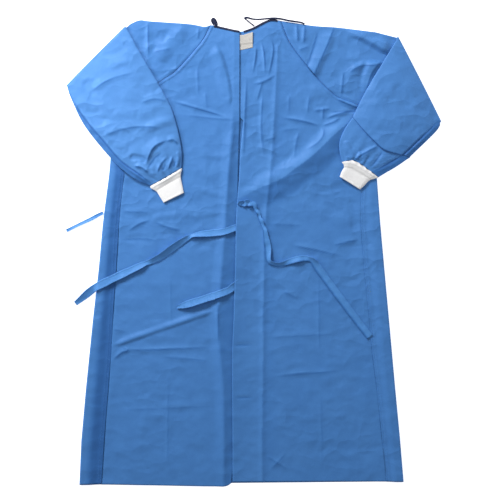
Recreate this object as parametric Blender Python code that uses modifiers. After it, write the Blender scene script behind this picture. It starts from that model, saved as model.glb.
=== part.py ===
"""A disposable surgical gown, laid out flat on its front with the open back up.

The front panel lies on the floor and turns up and over at both sides as far as the side seams.
The two back panels lie on it and overlap at the centre. The raglan sleeves are flattened tubes,
folded over at the elbow so that the forearms and knit cuffs come back on top of the body.

Tables and sizes are in millimetres: +X to the right of the laid gown, +Y towards the neck, +Z up.
The origin is on the floor under the middle of the outline.
"""

import math

import bmesh
import bpy
import numpy as np
from mathutils import Vector
from mathutils.geometry import delaunay_2d_cdt

MM = 0.001

# Sizes of the cloth
CLOTH = 1.2            # wall of the nonwoven panels and sleeves
STRIP = 1.2            # wall of the waist ties
KNIT = 1.6             # wall of the knit cuffs, without the ribs
BINDING = 1.0          # wall of the neck binding
GAP = 0.3              # between pieces at a seam, and between layers at rest
FLOOR_PLY = CLOTH / 2                    # mid plane of the ply on the floor
SECOND_PLY = FLOOR_PLY + CLOTH + GAP     # mid plane of a ply that rests on it

# Heights of the mid planes where the cloth stands up
SEAM_HEIGHT = 4.0      # where the front panel's turned edge meets a back panel
SEAM_RUN = 42.0        # how far in from the seam the back panel comes down
CREST_RUN = 26.0       # how far the left panel rises towards the crease beside its edge
RIDGE_RUN = 14.0       # half width of the right panel's long packing crease
RIDGE_HEIGHT = 1.4     # and its height
RIDGE_END = 570.0      # level where it ends below the neck
RIDGE_FADE = 50.0      # over which it comes down

SIDE_FADE_START = 364.0    # level of the armpits, where the side seams end
SIDE_FADE = 18.0           # over which a back panel comes down there

# Front panel
FLOOR_STOPS = (0.2, 0.4, 0.6, 0.8)     # inner points across the floor
FLAP_STOPS = ((0.5, 0.35), (1.0, 1.0))     # along each turned edge: run and fall
ROLL_TURNS = 5             # points round each side roll
UNROLLED = (0.62, 0.25)    # how far the edges are still turned above the armpits
FLAT_EDGE = (0.2, 0.4, 0.6, 0.8, 1.0, 1.2, 1.4)    # points in from the edge where it lies flat
FRONT_NECK_DROP = 84.0     # how far the front neck edge hangs below the shoulder seams
NECK_ROUND = 0.7           # how round its curve is, where 1 is a parabola

# Sleeves
KNOTS = 8              # seam knots along each raglan line
ELBOW_RADIUS = 2.9     # radius of the mid plane round the elbow fold
ELBOW_INSET = 5.2      # from the outline at the elbow fold in to the middle of the tube
ELBOW_TURNS = 6        # rings round the elbow fold, with the last flat one and the first turned one
EDGE_HALF = 0.8        # half height of a flattened tube at its side folds
UPPER_ROWS = 6         # rings from the raglan seam to the elbow fold
UPPER_SWELL = 1.0      # how far the upper arm's plies swell apart
SWELL_ROUND = 0.7      # how full a flattened tube is near its side folds
SIDE_SPREAD = 0.25     # share of a forearm's spread that is left at its side folds
GATHERS = 5            # waves across the top of each sleeve where it is drawn into its cuff
PLEAT_TUCK = 2.0       # how far the lower part of the right forearm starts below the pleat

# Cuffs
CUFF_RIBS = 18         # raised ribs on each face
RIB_HEIGHT = 0.5
CUFF_TIP = 1.0         # half height of a cuff at its side folds
SEAM_BOW = 2.0         # how quickly the curve of the seam dies out down a cuff

# Binding, ties and patch
BINDING_DEPTH = 6.0    # how far the neck binding reaches onto the cloth
BINDING_TURNS = 5      # points round its fold
ROLL_FOOT = 0.35       # share of the side roll's height right at the side fold
ROLL_STEEPNESS = 4.0   # how quickly the roll gains the rest of it
PATCH_WALL = 1.0

COLOURS = {            # linear base colour, roughness
    "blue_nonwoven": ((0.085, 0.245, 0.575), 0.62),
    "white_knit": ((0.80, 0.81, 0.84), 0.85),
    "navy_binding": ((0.012, 0.018, 0.060), 0.60),
    "white_patch": ((0.62, 0.60, 0.57), 0.80),
}


class Table:
    """Rows of named columns. Columns are read against the first one, along straight runs."""

    def __init__(self, names, *rows):
        self.names = names.split()
        self.rows = np.array(rows, float)

    def __getitem__(self, name):
        return self.rows[:, self.names.index(name)]

    def at(self, name, value):
        order = np.argsort(self.rows[:, 0])
        return np.interp(value, self.rows[order, 0], self[name][order])

    def points(self, *names):
        return np.stack([self[name] for name in names], axis=1)


# The body, one row for each level from hem to armpit: the side folds and side seams, the crease
# and the edge of each back panel at the centre opening, and the height of the roll at the sides
BODY = Table(
    "y left_fold left_seam left_crest left_edge right_edge right_ridge right_seam right_fold roll",
    (-613, -462, -405, -80, -60, -57, 21, 352, 396, 10.0),
    (-500, -457, -398, -79, -46, -57, 21, 341, 387, 10.0),
    (-364, -445, -387, -81, -30, -58, 23, 327, 374, 9.5),
    (-264, -435, -379, -90, -24, -58, 24, 314, 365, 9.0),
    (-176, -426, -375, -97, -26, -54, 24, 307, 357, 9.0),
    (-44, -411, -366, -85, -26, -50, 26, 293, 345, 8.5),
    (68, -401, -359, -77, -29, -48, 30, 285, 335, 8.0),
    (118, -395, -355, -74, -43, -46, 33, 284, 331, 7.0),
    (203, -384, -345, -68, -42, -39, 42, 289, 325, 6.0),
    (269, -378, -350, -62, -40, -36, 48, 297, 319, 5.6),
    (346, -370, -364, -56, -38, -28, 53, 307, 311, 5.0),
)

# The centre edges above the armpits, where the left panel laps over the right one
EDGES = Table(
    "y left_crest left_edge right_edge right_ridge",
    (362, -56, -38, -47, 54),
    (440, -54, -38, -47, 58),
    (520, -52, -38, -49, 62),
)

# How far each back panel stands up beside its centre edge, and at the left panel's crease
LIFT = Table(
    "y left_crest left_edge right_edge",
    (-613, 3.0, 0.0, 2.2),
    (-500, 4.5, 0.0, 5.0),
    (-176, 5.0, 0.0, 7.2),
    (68, 5.0, 0.0, 6.8),
    (118, 4.5, 0.0, 2.0),
    (203, 4.5, 0.0, 0.6),
    (300, 4.5, 0.6, 0.4),
    (362, 4.0, 2.4, 0.0),
    (500, 4.0, 3.1, 0.0),
    (600, 3.6, 3.3, 0.0),
)

# The raglan seams, neck to armpit
RAGLAN_LEFT = ((-116, 600), (-134, 564), (-159, 532), (-184, 503), (-212, 475), (-248, 452),
               (-302, 412), (-363, 364))
RAGLAN_RIGHT = ((72, 611), (95, 555), (138, 496), (178, 449), (220, 412), (265, 394), (307, 370))

# The back neck edges from the raglan seams to the centre, and the front neck edge between them
NECK_LEFT = ((-116, 600), (-96, 596), (-74, 591), (-54, 586), (-38, 583))
NECK_RIGHT = ((72, 611), (52, 614), (37, 612), (14, 601), (-3, 592), (-28, 583), (-52, 584))

# Hem levels at the left and the right side
HEM_LEFT = -617
HEM_RIGHT = -609

# Folds of the left back panel, each a ridge: its two ends, their heights, and the run of its
# flanks to the left and the right of the way from the first end to the second
FOLD_COLUMNS = "x0 y0 x1 y1 height0 height1 left right fade"
FOLDS_LEFT = Table(
    FOLD_COLUMNS,
    (-372, -251, -98, -143, 7.5, 3.0, 13, 10, 14),
    (-346, -258, -356, -300, 3.0, 1.5, 9, 9, 10),
    (-378, -262, -110, -259, 1.2, 1.0, 14, 14, 20),
    (-228, 404, -92, 366, 1.4, 1.6, 12, 12, 16),
    (-148, 508, -144, 418, 1.0, 1.2, 10, 10, 16),
    (-204, 96, -118, 130, 1.6, 1.2, 14, 12, 18),
    (-250, 84, -150, 112, 1.2, 1.4, 12, 12, 18),
)
FOLDS_RIGHT = Table(
    FOLD_COLUMNS,
    (212, 326, 20, 176, 4.5, 7.5, 15, 26, 26),
    (196, 348, 240, 366, 3.4, 2.4, 9, 9, 12),
    (98, 18, 232, -6, 2.4, 2.0, 13, 13, 20),
    (166, 7, 276, 31, 2.0, 1.6, 12, 12, 18),
    (252, 108, 278, 50, 1.6, 1.4, 12, 12, 14),
    (26, -332, 190, -319, 1.3, 1.2, 14, 14, 20),
    (-44, -245, -8, -247, 1.0, 1.0, 12, 12, 12),
    (72, 354, 176, 334, 1.4, 1.6, 12, 12, 16),
    (143, 414, 143, 362, 1.2, 1.2, 10, 10, 14),
)

# Sleeves: the outline along each side, with the cuff seam at the end
SLEEVE_LEFT = {
    "raglan": RAGLAN_LEFT,
    "shoulder": ((-116, 600), (-133, 596), (-173, 603), (-273, 610), (-302, 613), (-326, 604),
                 (-342, 597)),
    "underarm": ((-363, 364), (-430, 392), (-498, 440)),
    "patches": (
        {"end": ((-192, 221), (-233, 196), (-274, 174)),
         "inner": ((-342, 597), (-289, 505), (-254, 445), (-220, 382), (-201, 319), (-191, 264),
                   (-192, 221)),
         "outer": ((-498, 440), (-480, 396), (-451, 337), (-405, 277), (-356, 224),
                   (-313, 191), (-274, 174)),
         "rows": 10},
    ),
}
SLEEVE_RIGHT = {
    "raglan": RAGLAN_RIGHT,
    "shoulder": ((72, 611), (100, 607), (159, 598), (217, 594), (268, 588), (323, 581),
                 (383, 569)),
    "underarm": ((307, 370), (400, 352), (497, 344)),
    "patches": (
        {"end": ((261, 356), (286, 326), (315, 296), (343, 271), (371, 261), (398, 255),
                 (413, 251)),
         "inner": ((383, 569), (366, 542), (333, 488), (294, 422), (261, 356)),
         "outer": ((497, 344), (485, 322), (461, 297), (435, 272), (413, 251)),
         "rows": 6},
        {"end": ((233, 237), (250, 240), (268, 239), (300, 218), (329, 196)),
         "inner": ((259, 352), (242, 328), (230, 303), (225, 282), (227, 258), (233, 237)),
         "outer": ((411, 249), (392, 235), (371, 221), (350, 209), (329, 196)),
         "rows": 6},
    ),
}

# Along each forearm from the elbow fold to the cuff: the height of its underside, the half height
# between its plies, how far the whole tube domes up, and the depth of the gathers on its top
FOREARM_COLUMNS = "along under half dome gather"
FOREARM_LEFT = Table(
    FOREARM_COLUMNS,
    (0.00, 5.8, 1.5, 0.0, 0.0),
    (0.15, 6.4, 2.2, 4.0, 0.0),
    (0.50, 6.8, 2.4, 7.0, 0.0),
    (0.80, 6.6, 2.4, 6.0, 0.8),
    (0.92, 5.6, 2.3, 3.6, 2.0),
    (1.00, 4.2, 2.2, 0.6, 0.6),
)
FOREARM_RIGHT = Table(
    FOREARM_COLUMNS,
    (0.00, 5.8, 1.5, 0.0, 0.0),
    (0.12, 6.6, 2.2, 4.5, 0.0),
    (0.40, 7.4, 2.4, 8.5, 0.0),
    (0.58, 7.4, 2.4, 8.0, 0.0),
    (0.64, 7.0, 2.4, 2.2, 0.4),
    (0.90, 7.0, 2.3, 2.2, 1.6),
    (1.00, 7.0, 2.2, 0.4, 0.6),
)

# Cuffs: a row for each level, its two side points, the height of its underside and half height
CUFF_COLUMNS = "along x0 y0 x1 y1 under half"
CUFF_LEFT = Table(
    CUFF_COLUMNS,
    (0.0, -192, 221, -274, 174, 4.2, 2.2),
    (0.2, -195, 212, -268, 166, 3.9, 1.9),
    (0.6, -191, 182, -254, 146, 3.4, 1.8),
    (1.0, -186, 156, -241, 130, 3.1, 1.8),
)
CUFF_RIGHT = Table(
    CUFF_COLUMNS,
    (0.0, 233, 237, 329, 196, 7.0, 2.2),
    (0.2, 239, 229, 315, 193, 6.6, 1.9),
    (0.6, 232, 213, 297, 178, 5.8, 1.8),
    (1.0, 227, 199, 281, 165, 5.0, 1.8),
)

# Waist ties: points of the middle line, how far the strip stands clear of the cloth under it,
# its width, and how far it is rolled about its own length in degrees
TIE_COLUMNS = "x y lift width roll"
TIE_UPPER_LEFT = Table(
    TIE_COLUMNS,
    (-38, 67, 0.1, 15, 0), (-50, 63, 0.2, 16, 0), (-78, 53, 0.3, 18, 0), (-110, 49, 0.4, 19, 6),
    (-143, 46, 0.5, 16, 18), (-164, 42, 0.6, 12, 30), (-186, 30, 0.5, 17, 12),
    (-207, 15, 0.4, 20, -6), (-249, -15, 0.4, 20, -12), (-276, -27, 0.6, 15, -24),
    (-302, -38, 0.8, 15, 14), (-340, -56, 0.6, 20, 6), (-376, -73, 0.6, 21, 0),
    (-402, -86, 0.8, 21, 0), (-419, -95, 3.6, 21, 0), (-433, -105, 4.0, 21, 0),
    (-450, -119, 0.4, 20, 0), (-473, -138, 0.0, 12, 0),
)
TIE_LOWER_LEFT = Table(
    TIE_COLUMNS,
    (-38, -80, 0.1, 16, 0), (-52, -90, 0.2, 18, 0), (-66, -102, 0.4, 19, 0),
    (-95, -113, 1.4, 20, 6), (-143, -129, 3.4, 20, 8), (-182, -141, 3.2, 19, 6),
    (-205, -148, 1.4, 8, 0),
)
TIE_RIGHT = Table(
    TIE_COLUMNS,
    (-36, 124, 0.4, 9, 0), (-26, 124, 0.4, 13, 24), (-12, 123, 0.4, 15, -24),
    (2, 112, 0.4, 15, 20), (12, 98, 0.4, 14, -20), (24, 68, 0.4, 13, 20), (34, 34, 0.4, 11, 36),
    (40, 4, 0.4, 10, 40), (44, -22, 0.6, 12, 20), (58, -34, 0.8, 15, 0), (95, -28, 0.8, 18, -6),
    (132, -20, 0.8, 18, 6), (156, -24, 0.9, 17, 16), (172, -44, 0.8, 18, 8),
    (201, -83, 0.5, 18, 0), (254, -158, 0.4, 18, 0), (294, -208, 0.4, 17, 0),
    (307, -225, 0.4, 16, 0),
)
TIE_SIDE = Table(
    TIE_COLUMNS,
    (-399, 102.5, 2.4, 8, 0), (-411, 97.5, 1.0, 9, 0), (-432, 86, 0.2, 10, 16),
    (-462, 72, 0.3, 9, 24), (-497, 55, 0.0, 8, 0),
)
NECK_TIE_COLUMNS = "x y z width roll"
NECK_TIE_LEFT = Table(
    NECK_TIE_COLUMNS,
    (-106.6, 600.2, 4.4, 5, 10), (-104, 612, 4.8, 5, 40), (-106, 619, 5.6, 5, 20),
    (-113, 619, 5.2, 5, 10), (-118, 613, 4.2, 5, 0), (-121, 607, 2.6, 5, 0),
)
NECK_TIE_RIGHT = Table(
    NECK_TIE_COLUMNS,
    (1, 596.8, 3.0, 4, 10), (-14, 610, 4.8, 4, 30), (-24, 616, 5.0, 4, 30),
    (-22, 620, 5.2, 5, 10), (-4, 618, 5.0, 7, 0), (22, 618.5, 4.8, 7, 0),
    (52, 619.5, 5.2, 7, 10), (84, 616, 5.0, 6, 10), (104, 612.5, 4.8, 6, 0), (124, 608, 4.4, 6, 0),
    (138, 603.5, 4.2, 5, 0),
)

# The hook-and-loop patch
PATCH_OUTLINE = ((-50, 573), (-28, 573), (-3, 581), (-3, 540), (-30, 534), (-50, 532))


def clear_scene():
    """Remove every object that the new file opened with."""
    for thing in list(bpy.data.objects):
        bpy.data.objects.remove(thing, do_unlink=True)


def smooth(points, runs=6):
    """Points along a Catmull-Rom curve through the given ones."""
    points = np.array(points, float)
    padded = np.vstack([2 * points[0] - points[1], points, 2 * points[-1] - points[-2]])
    curve = []
    for i in range(1, len(padded) - 2):
        a, b, c, d = padded[i - 1:i + 3]
        for t in np.arange(runs) / runs:
            curve.append(0.5 * (2 * b + (c - a) * t + (2 * a - 5 * b + 4 * c - d) * t * t
                                + (3 * b - a - 3 * c + d) * t ** 3))
    return np.array(curve + [points[-1]])


def along(line, fractions):
    """Points at fractions of the length of a line of points."""
    line = np.array(line, float)
    steps = np.linalg.norm(np.diff(line[:, :2], axis=0), axis=1)
    length = np.concatenate([[0], np.cumsum(steps)]) / steps.sum()
    return np.stack([np.interp(fractions, length, line[:, k]) for k in range(line.shape[1])], 1)


def make_material(name):
    """A plain Principled material for one kind of cloth."""
    colour, roughness = COLOURS[name]
    material = bpy.data.materials.get(name)
    if material is None:
        material = bpy.data.materials.new(name)
        material.use_nodes = True
        shader = material.node_tree.nodes["Principled BSDF"]
        shader.inputs["Base Color"].default_value = (*colour, 1.0)
        shader.inputs["Roughness"].default_value = roughness
        shader.inputs["Metallic"].default_value = 0.0
        material.diffuse_color = (*colour, 1.0)
    return material


def add_object(name, points, faces, material, collection):
    """A named object from points in millimetres."""
    mesh = bpy.data.meshes.new(name)
    mesh.from_pydata([tuple(MM * value for value in point) for point in points], [], faces)
    mesh.materials.append(make_material(material))
    mesh.shade_smooth()
    thing = bpy.data.objects.new(name, mesh)
    collection.objects.link(thing)
    return thing


def thicken(thing, wall):
    """Turn an open surface into a wall, half of it on each side."""
    solidify = thing.modifiers.new("wall", "SOLIDIFY")
    solidify.thickness = wall * MM
    solidify.offset = 0.0
    solidify.use_even_offset = True
    solidify.use_rim = True
    return thing


def grid_faces(rows, columns, closed=False):
    """Faces of a grid of points whose rows are closed rings or open lines."""
    last = columns if closed else columns - 1
    return [(r * columns + c, r * columns + (c + 1) % columns,
             (r + 1) * columns + (c + 1) % columns, (r + 1) * columns + c)
            for r in range(rows - 1) for c in range(last)]


def loft_sheet(name, rows, wall, material, collection):
    """A wall through open lines of points."""
    points = [point for row in rows for point in row]
    thing = add_object(name, points, grid_faces(len(rows), len(rows[0])), material, collection)
    return thicken(thing, wall)


def loft_tube(name, outer, inner, material, collection):
    """A tube wall with open ends, from matching rings of outer and inner points."""
    rows, count = len(outer), len(outer[0])
    points = [point for ring in outer for point in ring] + [p for ring in inner for p in ring]
    faces = grid_faces(rows, count, closed=True)
    start = rows * count
    faces += [tuple(start + i for i in reversed(face)) for face in faces]
    for row, turned in ((0, False), (rows - 1, True)):
        for c in range(count):
            a, b = row * count + c, row * count + (c + 1) % count
            face = (b, a, start + a, start + b)
            faces.append(tuple(reversed(face)) if turned else face)
    thing = add_object(name, points, faces, material, collection)
    shell = bmesh.new()
    shell.from_mesh(thing.data)
    bmesh.ops.recalc_face_normals(shell, faces=shell.faces)
    shell.to_mesh(thing.data)
    shell.free()
    return thing


def inside(point, outline):
    """Whether a point lies inside an outline."""
    x, y = point
    odd = False
    for (x0, y0), (x1, y1) in zip(outline, np.roll(outline, -1, axis=0)):
        if (y0 > y) != (y1 > y) and x < x0 + (y - y0) * (x1 - x0) / (y1 - y0):
            odd = not odd
    return odd


def field_sheet(name, outline, lines, height, material, collection):
    """A wall over an outline, whose triangles have the fold lines as edges."""
    outline = np.array(outline, float)
    points = [Vector(p) for p in outline]
    edges = [(i, (i + 1) % len(outline)) for i in range(len(outline))]
    for line in lines:
        run = [p for p in np.array(line, float) if clear_of_edge(p, outline)]
        first = len(points)
        points += [Vector(p) for p in run]
        edges += [(first + i, first + i + 1) for i in range(len(run) - 1)]
    flat, _, faces = delaunay_2d_cdt(points, edges, [], 0, 1e-4)[:3]
    kept = [f for f in faces if inside(sum((flat[i] for i in f), Vector((0, 0))) / 3, outline)]
    thing = add_object(name, [(p.x, p.y, height(p.x, p.y)) for p in flat], kept, material,
                       collection)
    return thicken(thing, CLOTH)


def clear_of_edge(point, outline, margin=2.0):
    """Whether a point lies inside an outline and at least a margin from it."""
    if not inside(point, outline):
        return False
    for start, end in zip(outline, np.roll(outline, -1, axis=0)):
        way = end - start
        t = np.clip(np.dot(point - start, way) / np.dot(way, way), 0, 1)
        if np.linalg.norm(point - start - t * way) < margin:
            return False
    return True


def fold_frame(row):
    """A fold's start, unit direction, unit normal to its left, and length."""
    start, end = np.array(row[0:2]), np.array(row[2:4])
    length = np.linalg.norm(end - start)
    way = (end - start) / length
    return start, way, np.array((-way[1], way[0])), length


def fold_height(folds, x, y):
    """The height that all the ridges of a table give at a point, each a tent along its line."""
    total = 0.0
    for row in folds.rows:
        start, way, normal, length = fold_frame(row)
        height0, height1, left, right, fade = row[4:9]
        offset = np.array((x, y)) - start
        s, d = np.dot(offset, way), np.dot(offset, normal)
        ends = np.clip(min(s, length - s) / fade, 0, 1)
        flank = max(0.0, 1 - abs(d) / (left if d > 0 else right))
        total += (height0 + (height1 - height0) * s / length) * ends * flank
    return total


def fold_lines(folds):
    """The crest and the two feet of every ridge."""
    lines = []
    for row in folds.rows:
        start, way, normal, length = fold_frame(row)
        left, right, fade = row[6:9]
        stops = np.concatenate([[0], np.linspace(fade, length - fade, 3), [length]])
        for shift in (left, 0.0, -right):
            lines.append([start + way * s + normal * shift for s in stops])
    return lines


def edge_line(name):
    """A centre edge or crease, hem to neck."""
    return np.vstack([np.stack([table[name], table["y"]], 1) for table in (BODY, EDGES)])


def edge_at(name, y):
    """Where a centre edge or crease lies at a level."""
    line = edge_line(name)
    return np.interp(y, line[:, 1], line[:, 0])


def seam_line(side):
    """A side seam, hem to armpit."""
    line = BODY.points(side + "_seam", "y")
    line[0, 1] = HEM_LEFT if side == "left" else HEM_RIGHT
    return line


def raglan_knots(line):
    """The knots of a raglan seam, evenly spaced from neck to armpit."""
    return along(smooth(line), np.linspace(0, 1, KNOTS))


def seam_rise(distance):
    """How far a back panel stands up at a distance in from its side seam."""
    return (SEAM_HEIGHT - SECOND_PLY) * np.clip(1 - distance / SEAM_RUN, 0, 1)


def side_fade(y):
    """One along the side seams, down to nothing where the raglan seam takes over."""
    return np.clip((SIDE_FADE_START - y) / SIDE_FADE, 0, 1)


def left_height(x, y):
    """The mid plane of the left back panel."""
    crest, edge = edge_at("left_crest", y), edge_at("left_edge", y)
    rise = LIFT.at("left_crest", y)
    lift = LIFT.at("left_edge", y)
    if x < crest:
        strip = rise * np.clip(1 - (crest - x) / CREST_RUN, 0, 1)
    else:
        strip = rise + (lift - rise) * np.clip((x - crest) / (edge - crest), 0, 1)
    side = seam_rise(x - BODY.at("left_seam", y)) * side_fade(y)
    return SECOND_PLY + strip + side + fold_height(FOLDS_LEFT, x, y)


def right_height(x, y):
    """The mid plane of the right back panel."""
    edge, ridge = edge_at("right_edge", y), edge_at("right_ridge", y)
    lift = LIFT.at("right_edge", y) * np.clip((ridge - x) / (ridge - edge), 0, 1)
    crease = RIDGE_HEIGHT * np.clip(1 - abs(x - ridge) / RIDGE_RUN, 0, 1)
    crease *= np.clip((RIDGE_END - y) / RIDGE_FADE, 0, 1)
    side = seam_rise(BODY.at("right_seam", y) - x) * side_fade(y)
    return SECOND_PLY + lift + crease + side + fold_height(FOLDS_RIGHT, x, y)


def make_left_panel(collection):
    """The left back panel: hem, centre edge, neck edge, raglan seam, side seam."""
    knots = raglan_knots(RAGLAN_LEFT)[::-1] + (GAP / 2, -GAP / 2)
    seam = seam_line("left") + (GAP / 2, 0)
    centre = edge_line("left_edge")
    hem = [(-240, -620), (-78, -622), (-66, -620)]
    neck = np.array(NECK_LEFT, float)[::-1]
    outline = np.vstack([hem, centre, neck[:-1], knots[::-1], seam[::-1]])
    lines = [edge_line("left_crest"), edge_line("left_crest") - (CREST_RUN, 0),
             seam + (SEAM_RUN, 0)] + fold_lines(FOLDS_LEFT)
    return field_sheet("back_panel_left", outline, lines, left_height, "blue_nonwoven", collection)


def make_right_panel(collection):
    """The right back panel: hem, side seam, raglan seam, neck edge, centre edge."""
    knots = raglan_knots(RAGLAN_RIGHT)[::-1] + (-GAP / 2, -GAP / 2)
    seam = seam_line("right") - (GAP / 2, 0)
    centre = edge_line("right_edge")
    centre[0, 1] = HEM_RIGHT - 1
    neck = np.array(NECK_RIGHT, float)[1:]
    outline = np.vstack([seam, knots, neck, centre[::-1]])
    ridge = edge_line("right_ridge")
    lines = [ridge, ridge + (RIDGE_RUN, 0), ridge - (RIDGE_RUN, 0), seam - (SEAM_RUN, 0)]
    lines += fold_lines(FOLDS_RIGHT)
    return field_sheet("back_panel_right", outline, lines, right_height, "blue_nonwoven",
                       collection)


def side_turn(seam_run, roll, turned=1.0):
    """The front panel's edge at one side, from the seam round to the floor.

    Each point is a distance in from the side fold and a height. Turned is 1 where the edge
    comes right over the top, and 0 where it lies flat.
    """
    radius = (roll - CLOTH) / 2
    angles = np.linspace(0, math.pi * turned, ROLL_TURNS)
    start = FLOOR_PLY + radius * turned
    arc = [(start - radius * math.sin(a), FLOOR_PLY + radius * (1 - math.cos(a))) for a in angles]
    top = arc[-1]
    run = max(seam_run - GAP / 2 - top[0], 1.0) * turned + 1.0 * (1 - turned)
    fall = max(0.0, top[1] - SEAM_HEIGHT) * turned
    reach = -math.cos(math.pi * turned)
    rise = math.sin(math.pi * turned)
    flap = [(top[0] + reach * run * f, top[1] + rise * run * f - fall * g)
            for f, g in FLAP_STOPS]
    return flap[::-1] + arc[::-1]


def front_row(left, right, turn0, turn1):
    """One row of the front panel between its left and right edge, given at floor level."""
    way = (right - left) / np.linalg.norm(right - left)
    start, end = left + way * turn0[-1][0], right - way * turn1[-1][0]
    row = [(*(left + way * d), z) for d, z in turn0]
    row += [(*(start + (end - start) * f), FLOOR_PLY) for f in FLOOR_STOPS]
    return row + [(*(right - way * d), z) for d, z in turn1[::-1]]


def make_front_panel(collection):
    """The front panel: turned up at both sides as far as the armpits, flat above them."""
    lefts, rights = BODY.points("left_fold", "y"), BODY.points("right_fold", "y")
    lefts[0, 1], rights[0, 1] = HEM_LEFT, HEM_RIGHT
    left_runs = BODY["left_seam"] - BODY["left_fold"]
    right_runs = BODY["right_fold"] - BODY["right_seam"]
    rolls = BODY["roll"]
    rows = []
    for left, right, run0, run1, roll in zip(lefts, rights, left_runs, right_runs, rolls):
        rows.append(front_row(left, right, side_turn(run0, roll), side_turn(run1, roll)))
    left_knots = raglan_knots(RAGLAN_LEFT)[::-1] + (GAP / 2, -GAP / 2)
    right_knots = raglan_knots(RAGLAN_RIGHT)[::-1] + (-GAP / 2, -GAP / 2)
    for turned in UNROLLED:
        left = left_knots[0] + (lefts[-1] - left_knots[0]) * turned
        right = right_knots[0] + (rights[-1] - right_knots[0]) * turned
        rows.append(front_row(left, right, side_turn(left_runs[-1], rolls[-1], turned),
                              side_turn(right_runs[-1], rolls[-1], turned)))
    flat = [(inset, FLOOR_PLY) for inset in FLAT_EDGE]
    for k, (left, right) in enumerate(zip(left_knots, right_knots)):
        row = front_row(left, right, flat, flat)
        drop = FRONT_NECK_DROP * (k / (KNOTS - 1)) ** 2
        width = right[0] - left[0]
        sagged = []
        for x, y, z in row:
            f = (x - left[0]) / width
            sag = drop * (4 * f * (1 - f)) ** NECK_ROUND if 0 < f < 1 else 0.0
            sagged.append((x, y - sag, z))
        rows.append(sagged)
    thing = loft_sheet("front_panel", rows, CLOTH, "blue_nonwoven", collection)
    thing.modifiers["wall"].use_even_offset = False


def coons(first, last, side0, side1, us, vs):
    """Points of a patch between four boundary curves, rows along u and stations along v."""
    first, last = along(first, vs), along(last, vs)
    side0, side1 = along(side0, us), along(side1, us)
    rows = []
    for u, s0, s1 in zip(us, side0, side1):
        ruled = (1 - u) * first + u * last
        sides = np.outer(1 - vs, s0) + np.outer(vs, s1)
        corners = (np.outer(1 - vs, (1 - u) * first[0] + u * last[0])
                   + np.outer(vs, (1 - u) * first[-1] + u * last[-1]))
        rows.append(ruled + sides - corners)
    return rows


def tube_ring(line, middle, half, lean, wall, ribs=None):
    """One ring of a flattened tube: middle points, half heights and the way that faces up."""
    middles = np.column_stack([line, middle])
    out = (middles[0] - middles[-1]) / np.linalg.norm(middles[0] - middles[-1])
    middles[0] = middles[0] - out * (EDGE_HALF + wall / 2)
    middles[-1] = middles[-1] + out * (EDGE_HALF + wall / 2)
    upper_half, lower_half = half
    ring = []
    for sign in (1, -1):
        grow = sign * wall / 2 + (ribs if ribs is not None and sign > 0 else 0)
        lower = middles - np.multiply.outer(lower_half + grow, lean)
        upper = middles + np.multiply.outer(upper_half + grow, lean)
        tip = out * (EDGE_HALF + sign * wall / 2)
        ring.append(np.vstack([lower, middles[-1] - tip, upper[::-1], middles[0] + tip]))
    return ring


def plump(vs):
    """How far a flattened tube swells across its width, none at its side folds."""
    return np.sin(np.pi * vs) ** SWELL_ROUND


def make_sleeve(name, sleeve, forearm, collection):
    """A raglan sleeve: flat from the raglan seam, folded over at the elbow, back to its cuff."""
    vs = np.linspace(0, 1, 2 * KNOTS - 1)
    raglan = raglan_knots(sleeve["raglan"])
    shoulder, underarm = np.array(sleeve["shoulder"]), np.array(sleeve["underarm"])
    outward = math.copysign(1, shoulder[-1][0])
    way = (underarm[-1] - shoulder[-1]) / np.linalg.norm(underarm[-1] - shoulder[-1])
    out = outward * np.array((-way[1], way[0]))
    elbow = np.array([shoulder[-1], underarm[-1]]) - out * ELBOW_INSET
    shoulder = np.vstack([smooth(shoulder[:-1]), elbow[0]])
    underarm = np.vstack([underarm[:-1], elbow[1]])
    seam_shift = np.array((outward * GAP / 2, GAP / 2))
    rings = []
    us = np.linspace(0, 1, UPPER_ROWS)
    up = np.array((0, 0, 1.0))
    closed = (SECOND_PLY - FLOOR_PLY) / 2
    for u, line in zip(us, coons(raglan + seam_shift, elbow, shoulder, underarm, us, vs)):
        half = closed + UPPER_SWELL * math.sin(math.pi * min(1.0, 1.2 * u) / 2) * plump(vs)
        rings.append(tube_ring(line, FLOOR_PLY + half, (half, half), up, CLOTH))
    elbow_line = along(elbow, vs)
    for turn in np.linspace(0, math.pi, ELBOW_TURNS)[1:-1]:
        shift = out * ELBOW_RADIUS * math.sin(turn)
        height = FLOOR_PLY + half + ELBOW_RADIUS * (1 - math.cos(turn))
        lean = np.append(-out * math.sin(turn), math.cos(turn))
        rings.append(tube_ring(elbow_line + shift, height, (half, half), lean, CLOTH))
    done, total = 0, sum(patch["rows"] for patch in sleeve["patches"])
    start = elbow
    for patch in sleeve["patches"]:
        inner = np.vstack([start[0], smooth(patch["inner"])[3:]])
        outer = np.vstack([start[-1], smooth(patch["outer"])[3:]])
        us = np.linspace(0, 1, patch["rows"])
        rows = coons(smooth(start) if len(start) > 2 else start, smooth(patch["end"]), inner,
                     outer, us, vs)
        for u, line in zip(us, rows):
            s = (done + u * patch["rows"]) / total
            rings.append(forearm_ring(line, s, vs, forearm))
        done += patch["rows"]
        start = np.array(patch["end"], float) - (0, PLEAT_TUCK)
    return loft_tube(name, [r[0] for r in rings], [r[1] for r in rings], "blue_nonwoven",
                     collection)


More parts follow.
